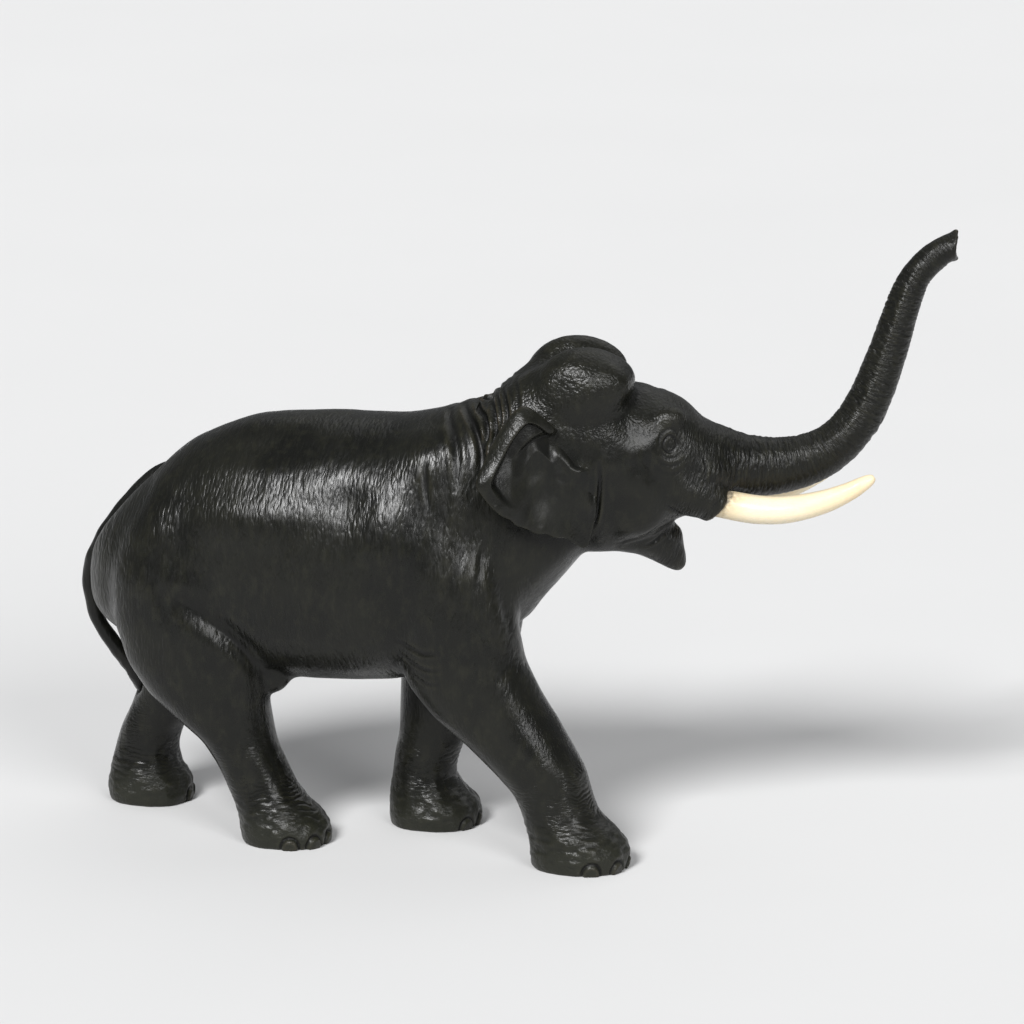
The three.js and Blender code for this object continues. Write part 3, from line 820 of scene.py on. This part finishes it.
def cut(bm, point, normal, keep_front):
    """Keeps one side of a plane and closes the cut with a flat face."""
    geometry = bm.verts[:] + bm.edges[:] + bm.faces[:]
    made = bmesh.ops.bisect_plane(
        bm, geom=geometry, dist=1e-8, plane_co=Vector(point), plane_no=Vector(normal),
        clear_outer=not keep_front, clear_inner=keep_front,
    )
    edges = [e for e in made["geom_cut"] if isinstance(e, bmesh.types.BMEdge) and e.is_valid]
    rim = [e for e in edges if len(e.link_faces) == 1]
    facing = Vector(normal) * (-1 if keep_front else 1)
    closed = bmesh.ops.triangle_fill(bm, edges=rim, use_beauty=True, normal=facing)
    for face in closed["geom"]:
        if isinstance(face, bmesh.types.BMFace):
            face.smooth = False
    for edge in rim:
        if edge.is_valid:
            edge.smooth = False


def divided(bm, point, normal):
    """The parts of a bmesh in front of a plane and behind it."""
    front, back = bm.copy(), bm
    cut(front, point, normal, True)
    cut(back, point, normal, False)
    return front, back


def placed(name, mesh, node, material, on="body"):
    mesh.materials.clear()
    mesh.materials.append(material)
    obj = new_object(name, mesh)
    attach(obj, on)
    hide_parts(node)


def drilled(mesh, tool_arrays):
    """The mesh with the tool's shape taken out."""
    work = new_object("work", mesh)
    tool = new_object("work_tool", mesh_from("tool", *tool_arrays))
    bm = as_bmesh(tool.data)
    bmesh.ops.recalc_face_normals(bm, faces=bm.faces)
    bm.to_mesh(tool.data)
    bm.free()
    modifier = work.modifiers.new("hole", "BOOLEAN")
    modifier.operation = "DIFFERENCE"
    modifier.solver = "EXACT"
    modifier.object = tool
    made = bpy.data.meshes.new_from_object(work.evaluated_get(bpy.context.evaluated_depsgraph_get()))
    bpy.data.objects.remove(work)
    bpy.data.objects.remove(tool)
    return made


# ---------- Ears, tail and tusks

# Edge of the right ear from the front of its root, over the top and round to the lobe: u, z
EAR_EDGE = [
    [22.5, 256], [18.5, 263.5], [11.5, 272], [4, 280.5], [-4.5, 289.5], [-13, 297.5], [-20, 302.5],
    [-26, 303], [-33, 297], [-40.5, 286.5], [-48, 273], [-54, 262], [-55.5, 256], [-52.5, 250],
    [-47, 243], [-40.5, 236.5], [-34, 232.5], [-29, 227.5], [-22, 224.5], [-16.5, 221], [-10, 220.5],
    [-4, 217.5], [3, 216.5], [9, 212.5], [15, 208.8], [18.5, 210.5], [20.5, 217], [23.5, 228],
    [24, 240], [23.8, 249],
]
EAR_MIDDLE = np.array([-10.0, 258.0])
EAR_AROUND, EAR_ACROSS = 460, 70
JAW_TOP = 228
# How far the ear's plane stands from the head's middle, how it opens towards the rear, how low it hangs
EAR_STANCE = {
    RIGHT: {"out": 49.0, "splay": 0.2, "drop": 0.0},
    LEFT: {"out": 66.0, "splay": 0.75, "drop": 14.0},
}


def closed_curve(points, count):
    """Points spread evenly over the corners of a smooth loop."""
    p = np.asarray(points, float)
    n = len(p)
    t = np.arange(count) / count * n
    i = np.floor(t).astype(int)
    return spline(p[(i - 1) % n], p[i % n], p[(i + 1) % n], p[(i + 2) % n], (t - i)[:, None])


def bump(x, z, x0, z0, rx, rz, power=1.0):
    return np.exp(-((((x - x0) / rx) ** 2 + ((z - z0) / rz) ** 2) ** power))


def ear_relief(u, z, r, side):
    """How far the middle of the ear's thickness stands out, and half of the thickness."""
    stance = EAR_STANCE[side]
    bearing = np.degrees(np.arctan2(z - EAR_MIDDLE[1], u - EAR_MIDDLE[0]))
    turned = np.where(bearing < -90, bearing + 360, bearing)
    out = stance["out"] + stance["splay"] * (EAR_MIDDLE[0] - u)
    # Bowl, shallower over the lobe
    lobe = smooth(-150, -112, bearing) * smooth(5, -25, bearing)
    out = out + 9.0 * (r**2 * (1 - 0.6 * lobe) - 0.5)
    # Rolled rear rim with a hollow inside it
    rear = smooth(60, 95, turned) * smooth(228, 172, turned)
    fall = smooth(48, 80, turned) * smooth(212, 145, turned) * np.clip((r - 0.34) / 0.44, 0, 1)
    rim = 8.5 * smooth(0.72, 0.81, r) - 10.5 * np.clip((r - 0.81) / 0.19, 0, 1) ** 1.1
    out = out + rear * rim * (0.45 + 0.55 * smooth(205, 150, turned) * smooth(92, 112, turned)) - 9.0 * fall
    # Canal under an arched ledge, and the hollow below it
    arch = 285 - 9 * ((u + 9) / 17) ** 2
    canal = smooth(arch + 1.5, arch - 3.5, z) * smooth(arch - 34, arch - 8, z) * smooth(23, 9, np.abs(u + 10))
    out = out - 5.5 * canal - 3.0 * bump(u, z, -15, 250, 11.5, 16, 1.6)
    # The upper front edge passes under the skin of the temple
    under = smooth(0.55, 0.95, r) * smooth(2, 16, bearing) * smooth(80, 66, bearing)
    out = out * (1 - under) + 33 * under
    # Puckers along the lower edge
    lower = smooth(0, -30, bearing) * smooth(-180, -140, bearing)
    pucker = np.sin(np.arange(EAR_AROUND) / EAR_AROUND * 2 * math.pi * 17 + 0.8)[None]
    out = out + (0.3 + 0.25 * np.sin(bearing / 9)) * pucker * lower * smooth(0.8, 1.0, r)
    half = 2.6 - 0.9 * smooth(0.3, 0.9, r) + 0.8 * rear * smooth(0.7, 0.92, r)
    return out, half * np.sqrt(np.clip(1 - r**14, 0, 1))


def joined_to_cheek(out, half, u, z, side, skull_tree):
    """The ear's front margin laid against the cheek, and a little proud of it at the lobe."""
    joining = smooth(5, 21, u) * smooth(274, 264, z)
    for i, j in np.argwhere(joining > 0.01):
        start = head([u[i, j], side * 90, max(z[i, j], JAW_TOP) - EAR_STANCE[side]["drop"]])
        hit = skull_tree.ray_cast(Vector(start), Vector(-side * LEFTWARD))[0]
        if hit is not None:
            flush = side * to_head(np.array(hit)[None])[0, 1] - half[i, j] - 0.2
            proud = -2.2 * smooth(18, 24, u[i, j]) + 5.2 * smooth(248, 234, z[i, j])
            out[i, j] += (flush + proud - out[i, j]) * joining[i, j]


def ear_faces():
    """Faces of the outer and the inner side, which share the edge of the outer one."""
    count = EAR_AROUND * EAR_ACROSS
    faces = []
    for i in range(EAR_ACROSS - 1):
        for j in range(EAR_AROUND):
            k = (j + 1) % EAR_AROUND
            a, d = i * EAR_AROUND + j, i * EAR_AROUND + k
            b, c = a + EAR_AROUND, d + EAR_AROUND
            outer, inner = [a, b, c, d], [count + d, count + c, count + b, count + a]
            if i == 0:
                outer, inner = [0, b, c], [count, count + c, count + b]
            if i == EAR_ACROSS - 2:
                inner = [v - count if v in (count + b, count + c) else v for v in inner]
            faces += [outer, inner]
    return faces


def ear_mesh(side, skull_tree):
    edge = closed_curve(EAR_EDGE, EAR_AROUND)
    reach = np.linspace(0, 1, EAR_ACROSS) ** 0.82
    grid = EAR_MIDDLE + (edge - EAR_MIDDLE)[None] * reach[:, None, None]
    u, z = grid[..., 0], grid[..., 1]
    r = np.broadcast_to(reach[:, None], u.shape)
    out, half = ear_relief(u, z, r, side)
    joined_to_cheek(out, half, u, z, side, skull_tree)
    # The root: the inner face drawn in towards the skull
    stance = EAR_STANCE[side]
    root = bump(u, z, 12, 254, 11, 17, 1.5) * smooth(1.0, 0.75, r) * (stance["out"] - 36.0)
    if side == LEFT:
        z = z - 0.45 * np.maximum(z - 272, 0)
    sides = [np.stack([u, side * v, z - stance["drop"]], -1) for v in (out + half, out - half - root)]
    faces = [f[::-1] if side == RIGHT else f for f in ear_faces()]
    mesh = mesh_from("ear", head(np.vstack([v.reshape(-1, 3) for v in sides])), faces)
    bm = as_bmesh(mesh)
    bmesh.ops.delete(bm, geom=[v for v in bm.verts if not v.link_faces], context="VERTS")
    bmesh.ops.recalc_face_normals(bm, faces=bm.faces)
    bm.to_mesh(mesh)
    bm.free()
    smooth_shaded(mesh)
    co, no = positions(mesh), normals(mesh)
    h = to_head(co)
    veins = noise(np.stack([h[:, 0] * 0.5 + h[:, 2] * 0.3, h[:, 2] * 0.25, h[:, 1] * 0.3], 1), 2.4, 51)
    set_positions(mesh, co + no * ((0.05 * veins + 0.08 * noise(co / MM, 9, 52)) * MM)[:, None])
    store_crests_and_hollows(mesh, 2.0)
    inner = bump(h[:, 0], h[:, 2] + stance["drop"], -12, 254, 30, 36, 3)
    store(mesh, "inner_ear", inner)
    store(mesh, "dome", 0.7 * (1 - inner))
    store(mesh, "cheek", np.full(len(co), 0.6))
    return mesh


# Middle line and radius of the tail
TAIL = [
    [-219, 0, 228, 5.0], [-231, 0, 232.5, 5.6], [-246.5, 0, 225, 6.2], [-264, 0, 207, 6.2],
    [-281.8, 0, 183, 5.6], [-292.8, 3, 157, 5.1], [-290.6, 8, 128, 4.8], [-279.5, 14, 106, 5.2],
    [-269, 20, 90, 6.0], [-265.5, 24, 78, 4.6], [-264, 25, 72, 1.6],
]


def tail_mesh():
    rows, at = resampled(TAIL, 0.8)
    share = at / at[-1]
    radius = rows[:, 3] * (1 + 0.035 * np.sin(at / 3.1) * smooth(0.1, 0.5, share) * smooth(0.86, 0.7, share))
    vertices, faces = sweep(body(rows[:, :3]), radius * MM, 44)
    mesh = mesh_from("tail", vertices, faces)
    co, no = positions(mesh), normals(mesh)
    p = co / MM
    tuft = smooth(112, 84, to_body(co)[:, 2])
    co = co + no * (0.5 * tuft * noise(p * np.array([1, 1, 0.16]), 2.6, 61) * MM)[:, None]
    co = co + no * (0.2 * noise(p * np.array([0.5, 1, 0.5]), 4.5, 62) * MM)[:, None]
    set_positions(mesh, co)
    smooth_shaded(mesh)
    store_crests_and_hollows(mesh, 0.8)
    store(mesh, "leg", np.ones(len(co)))
    return mesh


# Middle line and radius of a tusk outside the head
TUSK = [
    [108.3, -23, 229.4, 9.35], [112, -23.1, 228.6, 9.45], [118, -23.4, 227.3, 9.55], [130, -24, 225.2, 9.5],
    [145, -25, 224.6, 9.15], [160, -26.3, 226.6, 8.5], [175, -27.8, 230.6, 7.5], [188, -29, 236, 6.2],
    [195, -29.6, 239.8, 5.3], [200, -30, 242.7, 4.3], [203, -30.2, 244.6, 3.1], [204.4, -30.2, 245.6, 1.7],
]


def tusk_mesh(side):
    name = "tusk_right" if side == RIGHT else "tusk_left"
    axis, mouth = AXES[name], SOCKET[name]
    lift = 5 if side == LEFT else 0
    stations = [[u, side * -v, z + lift * smooth(135, 200, u), r] for u, v, z, r in TUSK]
    rows, _ = resampled(stations, 0.9)
    shaft = head(rows[:, :3])
    peg = np.array([-26.0, -25.4, -25.0, -18, -ROOT_DEPTH - 0.1, -ROOT_DEPTH, -ROOT_DEPTH + 0.6, -8, -4, -1])
    peg_radius = [4.9, 5.6, 5.8, 5.8, 5.8, 8.7, 9.05, 9.15, 9.25, 9.32]
    line = np.vstack([mouth + peg[:, None] * MM * axis, shaft])
    radius = np.concatenate([peg_radius, rows[:, 3]])
    vertices, faces = sweep(line, radius * MM, 48, 0.97)
    mesh = mesh_from(name, vertices, faces)
    co = positions(mesh)
    depth = (co - edge_point(name)) @ EDGE_NORMAL / MM
    store(mesh, "root", smooth(13, 0, depth))
    store(mesh, "peg", smooth(-ROOT_DEPTH + 0.5, -ROOT_DEPTH - 0.2, (co - mouth) @ axis / MM))
    reach = np.linalg.norm(co - mouth, axis=1) / MM
    store(mesh, "tip", smooth(62, 98, reach))
    smooth_shaded(mesh)
    return mesh


def bore(tusk):
    """The space for a tusk's peg and root in the head."""
    steps = np.array([-28.5, -ROOT_DEPTH - 0.7, -ROOT_DEPTH - 0.6, 12])
    line = SOCKET[tusk] + steps[:, None] * MM * AXES[tusk]
    return sweep(line, np.array([6.3, 6.3, 9.6, 9.9]) * MM, 48)


# ---------- Finishes


class Nodes:
    """A small hand for building a material's node tree."""

    def __init__(self, name):
        self.material = bpy.data.materials.new(name)
        self.material.use_nodes = True
        self.tree = self.material.node_tree
        self.shader = self.tree.nodes["Principled BSDF"]

    def add(self, kind, settings=None, **inputs):
        node = self.tree.nodes.new(kind)
        for key, value in (settings or {}).items():
            setattr(node, key, value)
        for key, value in inputs.items():
            self.put(node.inputs[key.replace("_", " ")], value)
        return node

    def put(self, socket, value):
        if isinstance(value, bpy.types.NodeSocket):
            self.tree.links.new(value, socket)
        else:
            socket.default_value = value

    def attribute(self, name):
        return self.add("ShaderNodeAttribute", {"attribute_name": name}).outputs["Fac"]

    def grain(self, scale, detail=2.0, rough=0.5, warp=0.0, along=None):
        """Noise stretched along each axis, in object millimetres or in a stored vector."""
        if along is None:
            where = self.add("ShaderNodeTexCoord").outputs["Object"]
            scale = [s / MM for s in scale]
        else:
            where = self.add("ShaderNodeAttribute", {"attribute_name": along}).outputs["Vector"]
        place = self.add("ShaderNodeMapping", {"vector_type": "POINT"}, Vector=where, Scale=tuple(scale))
        settings = {"Vector": place.outputs["Vector"], "Scale": 1.0, "Detail": detail}
        node = self.add("ShaderNodeTexNoise", **settings, Roughness=rough, Distortion=warp)
        return node.outputs["Fac"]

    def math(self, operation, *values):
        node = self.add("ShaderNodeMath", {"operation": operation})
        for socket, value in zip(node.inputs, values):
            self.put(socket, value)
        return node.outputs[0]

    def times(self, a, b):
        return self.math("MULTIPLY", a, b)

    def total(self, *values):
        result = values[0]
        for value in values[1:]:
            result = self.math("ADD", result, value)
        return result

    def ramp(self, value, low, high, start=0.0, end=1.0):
        limits = {"From_Min": low, "From_Max": high, "To_Min": start, "To_Max": end}
        node = self.add("ShaderNodeMapRange", {"interpolation_type": "SMOOTHSTEP"}, Value=value, **limits)
        return node.outputs[0]

    def mix(self, factor, a, b):
        node = self.add("ShaderNodeMix", {"data_type": "RGBA"})
        self.put(node.inputs["Factor"], factor)
        self.put(node.inputs[6], a if isinstance(a, bpy.types.NodeSocket) else (*a, 1))
        self.put(node.inputs[7], b if isinstance(b, bpy.types.NodeSocket) else (*b, 1))
        return node.outputs[2]

    def layered(self, base, *layers):
        """The base colour under layers, each with where it lies, how much it covers and its colour."""
        for where, cover, colour in layers:
            base = self.mix(self.times(where, cover), base, colour)
        return base

    def bumped(self, height, distance, strength=1.0):
        node = self.add("ShaderNodeBump", Strength=strength, Distance=distance, Height=height)
        self.finish(Normal=node.outputs["Normal"])

    def finish(self, **inputs):
        for key, value in inputs.items():
            self.put(self.shader.inputs[key.replace("_", " ")], value)


def carved_wood():
    n = Nodes("ebonised_wood")
    crest, hollow, foot = n.attribute("crest"), n.attribute("hollow"), n.attribute("foot")
    flank = n.grain((0.52, 0.15, 0.15), 1.2, 0.5, 0.4)
    pits = n.grain((0.5, 0.5, 0.5), 1.2, 0.5, 0.2)
    patch = n.grain((0.07, 0.07, 0.07), 2.0, 0.5)
    upright = n.grain((0.56, 0.56, 0.16), 2.0, 0.55, 0.4)
    across = n.grain((0.2, 0.2, 0.66), 2.0, 0.55, 0.5)
    ankle = n.attribute("ankle")
    leg = n.total(
        n.times(upright, n.math("SUBTRACT", 1.0, ankle)),
        n.times(across, n.times(ankle, n.ramp(patch, 0.42, 0.62, 0.25, 1.5))),
        n.times(pits, n.times(foot, 0.9)),
    )
    snout = n.grain((0.72, 0.17, 0.17), 2.0, 0.55, 0.4, along="ring")
    soft = n.grain((0.2, 0.2, 0.12), 2.0, 0.5, 0.2)
    strokes = n.total(
        n.times(flank, n.attribute("flank")),
        n.times(leg, n.times(n.attribute("leg"), 0.75)),
        n.times(snout, n.times(n.attribute("snout"), 2.0)),
        n.times(pits, n.times(n.attribute("dome"), 0.9)),
        n.times(soft, n.times(n.attribute("cheek"), 0.8)),
    )
    cloud = n.grain((0.018, 0.018, 0.018), 3.0, 0.6)
    fleck = n.grain((0.16, 0.16, 0.09), 3.0, 0.65)
    dust = n.grain((1.6, 1.6, 1.1), 2.0, 0.5)
    height = n.total(
        n.times(strokes, n.ramp(cloud, 0.35, 0.65, 0.75, 1.15)),
        n.times(dust, 0.06),
    )
    n.bumped(height, 0.62 * MM, 1.0)
    # Near-black stain, olive where it has rubbed thin, warm brown on the edges; painted shade makes the
    # hollows darker
    base = n.mix(n.ramp(cloud, 0.35, 0.65), (0.0040, 0.0042, 0.0034), (0.0072, 0.0074, 0.0054))
    base = n.layered(
        base,
        (n.ramp(fleck, 0.45, 0.75), 0.4, (0.0165, 0.0165, 0.0105)),
        (n.times(crest, n.ramp(fleck, 0.3, 0.7, 0.35, 1.0)), 0.5, (0.032, 0.030, 0.018)),
        (n.times(n.ramp(crest, 0.6, 1.0), n.ramp(cloud, 0.45, 0.6)), 0.35, (0.055, 0.037, 0.023)),
        (foot, 0.5, (0.021, 0.022, 0.015)),
        # Painted shade: the hollows drawn darker, near black
        (hollow, 0.8, (0.0022, 0.0022, 0.0020)),
    )
    sheen = n.total(
        n.ramp(strokes, 0.3, 0.7, 0.24, 0.32),
        n.times(hollow, 0.12),
        n.ramp(cloud, 0.35, 0.65, 0.0, 0.06),
        n.times(foot, 0.06),
        n.times(n.attribute("inner_ear"), 0.12),
    )
    n.finish(Base_Color=base, Roughness=sheen, Specular_IOR_Level=0.27)
    return n.material


def cream_resin():
    n = Nodes("cream_tusk")
    root, tip, peg = n.attribute("root"), n.attribute("tip"), n.attribute("peg")
    grain = n.grain((0.05, 0.55, 0.55), 3.0, 0.6, 0.3)
    cloud = n.grain((0.05, 0.05, 0.05), 2.0, 0.5)
    spots = n.grain((0.35, 0.35, 0.35), 3.0, 0.7)
    dirt = n.times(n.math("POWER", root, 2.2), n.ramp(spots, 0.3, 0.65, 0.25, 1.0))
    line = n.times(n.ramp(root, 0.955, 1.0), n.ramp(spots, 0.35, 0.6, 0.4, 1.0))
    base = n.mix(n.ramp(cloud, 0.35, 0.65), (0.76, 0.645, 0.44), (0.80, 0.70, 0.51))
    base = n.layered(
        base,
        (n.ramp(grain, 0.5, 0.8), 0.3, (0.70, 0.56, 0.35)),
        (tip, 0.45, (0.80, 0.62, 0.37)),
        (dirt, 0.8, (0.36, 0.27, 0.15)),
        (line, 0.8, (0.09, 0.08, 0.065)),
        (peg, 0.7, (0.62, 0.50, 0.33)),
    )
    sheen = n.total(n.ramp(grain, 0.3, 0.8, 0.24, 0.36), n.times(dirt, 0.3))
    n.finish(Base_Color=base, Roughness=sheen, IOR=1.5, Subsurface_Weight=0.12)
    n.finish(Subsurface_Radius=(0.004, 0.003, 0.0015), Subsurface_Scale=1.0)
    n.bumped(n.total(n.times(grain, 0.5), n.times(spots, 0.25)), 0.18 * MM, 0.8)
    return n.material


def beech():
    n = Nodes("beech_dowel")
    grain = n.grain((0.5, 0.5, 0.03), 4.0, 0.6, 0.4)
    flecks = n.grain((0.9, 0.9, 0.2), 2.0, 0.6)
    base = n.mix(n.ramp(grain, 0.35, 0.7), (0.50, 0.30, 0.14), (0.38, 0.20, 0.08))
    base = n.layered(base, (n.ramp(flecks, 0.6, 0.8), 0.4, (0.25, 0.13, 0.06)))
    n.finish(Base_Color=base, Roughness=n.ramp(grain, 0.3, 0.8, 0.55, 0.72))
    n.bumped(grain, 0.15 * MM)
    return n.material


def pale_floor():
    n = Nodes("pale_floor")
    tone = n.grain((0.004, 0.004, 0.004), 2.0, 0.5)
    base = n.mix(tone, (0.64, 0.64, 0.64), (0.66, 0.66, 0.66))
    n.finish(Base_Color=base, Roughness=0.9, Specular_IOR_Level=0.2)
    return n.material


# ---------- Building

wood = carved_wood()
cream = cream_resin()

coarse = softened(remeshed(fused_blocks(), 1.8 * MM))
carving = Carving(coarse)
shape_large(carving)
carving.settle()
set_positions(coarse, spread(positions(coarse), edge_array(coarse), 2, 0.4))


def share(mesh, plane, offset, keep_front):
    """One side of a glue line and a little more."""
    point, normal = plane
    bm = as_bmesh(mesh)
    cut(bm, point + normal * offset * MM, normal, keep_front)
    return mesh_of(bm)


def carved(mesh, voxel, chisels):
    """A share of the coarse carving made fine, chiselled, and ready for the finish."""
    fine = remeshed(mesh, voxel)
    set_positions(fine, spread(positions(fine), edge_array(fine), 3, 0.5))
    c = Carving(fine)
    for chisel in chisels:
        chisel(c)
    c.settle()
    store_crests_and_hollows(fine, voxel / MM)
    store_regions(fine)
    smooth_shaded(fine)
    return fine


rough_head = share(coarse, NECK, -8, True)
for tusk in SOCKET:
    rough_head = drilled(rough_head, slanted_tool(tusk))
head_chisels = [carve_body, carve_head, carve_trunk]
rough_rear = share(coarse, NECK, 8, False)
leg_plane = (np.array([0, 0, LEG_JOINT_Z]), UP)
body_chisels = [carve_body, carve_feet]
upper = as_bmesh(carved(share(rough_rear, leg_plane, -6, True), 1.15 * MM, body_chisels))
lower = as_bmesh(carved(share(rough_rear, leg_plane, 6, False), 0.8 * MM, body_chisels))
skull = as_bmesh(carved(share(rough_head, TRUNK_CUT, 6, False), 0.95 * MM, head_chisels))
nose = as_bmesh(carved(share(rough_head, TRUNK_CUT, -6, True), 0.62 * MM, head_chisels))

X_AXIS, Y_AXIS = np.array([1.0, 0, 0]), np.array([0, 1.0, 0])
split = body([-115, 0, 0])
cut(upper, *NECK, False)
cut(upper, *leg_plane, True)
cut(lower, *leg_plane, False)
torso_left, torso_right = divided(upper, ORIGIN, Y_AXIS)
legs_left, legs_right = divided(lower, ORIGIN, Y_AXIS)
front_left, hind_left = divided(legs_left, split, X_AXIS)
front_right, hind_right = divided(legs_right, split, X_AXIS)
cut(skull, *NECK, True)
cut(skull, *TRUNK_CUT, False)
cut(nose, *TRUNK_CUT, True)
skull_mesh = mesh_of(skull)
nose_mesh = mesh_of(nose)
for tusk in SOCKET:
    skull_mesh = drilled(skull_mesh, bore(tusk))
    nose_mesh = drilled(nose_mesh, bore(tusk))

skull_tree = tree_of(skull_mesh)

for name, mesh in (
    ("torso_right", mesh_of(torso_right)), ("torso_left", mesh_of(torso_left)),
    ("leg_front_right", mesh_of(front_right)), ("leg_front_left", mesh_of(front_left)),
    ("leg_hind_right", mesh_of(hind_right)), ("leg_hind_left", mesh_of(hind_left)),
    ("head", skull_mesh), ("trunk", nose_mesh),
    ("ear_right", ear_mesh(RIGHT, skull_tree)), ("ear_left", ear_mesh(LEFT, skull_tree)),
    ("tail", tail_mesh()),
):
    placed(f"carved_{name}", mesh, name, wood)
placed("polished_tusk_right", tusk_mesh(RIGHT), "tusk_right", cream, on="tusk_right")
placed("polished_tusk_left", tusk_mesh(LEFT), "tusk_left", cream, on="tusk_left")

peg_wood = beech()
for name in DOWELS:
    node = frame["nodes"][name]
    node.data.materials.clear()
    node.data.materials.append(peg_wood)

# ---------- Floor, light and camera

low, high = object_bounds()
size = (high - low).length
centre = (low + high) / 2

floor_corners = 96
floor_radius = 4.8 * size
turns = np.arange(floor_corners) / floor_corners * 2 * math.pi
verts = [(math.cos(t) * floor_radius, math.sin(t) * floor_radius, 0) for t in turns]
floor = new_object("floor", mesh_from("floor", verts, [range(floor_corners)]))
floor.data.materials.append(pale_floor())


def direction(azimuth, elevation):
    """Unit vector from the object to a viewer at that azimuth and elevation."""
    a, e = math.radians(azimuth), math.radians(elevation)
    return Vector((math.sin(a) * math.cos(e), -math.cos(a) * math.cos(e), math.sin(e)))


def soft_sun(name, azimuth, elevation, strength, spread_angle):
    light = bpy.data.lights.new(name, "SUN")
    light.energy = strength
    light.angle = math.radians(spread_angle)
    obj = new_object(name, light)
    obj.rotation_mode = "QUATERNION"
    obj.rotation_quaternion = direction(azimuth, elevation).to_track_quat("Z", "Y")


soft_sun("key", -12, 41, 3.7, 18)
soft_sun("front_fill", 44, 28, 1.5, 26)
soft_sun("rear_fill", 165, 52, 0.5, 60)

world = bpy.data.worlds.new("studio")
bpy.context.scene.world = world
world.use_nodes = True
background = world.node_tree.nodes["Background"]
background.inputs["Color"].default_value = (0.95, 0.97, 1.0, 1)
background.inputs["Strength"].default_value = 0.21

bpy.context.scene.view_settings.view_transform = "Standard"
bpy.context.scene.view_settings.look = "None"

frame_low, frame_high = first_bounds
frame_size = (frame_high - frame_low).length
aim = (frame_low + frame_high) / 2 + Vector((0.0159, -0.0289, 0.029)) * frame_size
camera = new_object("camera", bpy.data.cameras.new("camera"))
back = direction(17, 14.5)
distance = 8.349 * frame_size
camera.location = aim + back * distance
camera.rotation_mode = "QUATERNION"
camera.rotation_quaternion = (-back).to_track_quat("-Z", "Y")
camera.data.lens = 329.6
camera.data.sensor_width = 36
camera.data.clip_start, camera.data.clip_end = 0.1, 60
bpy.context.scene.camera = camera
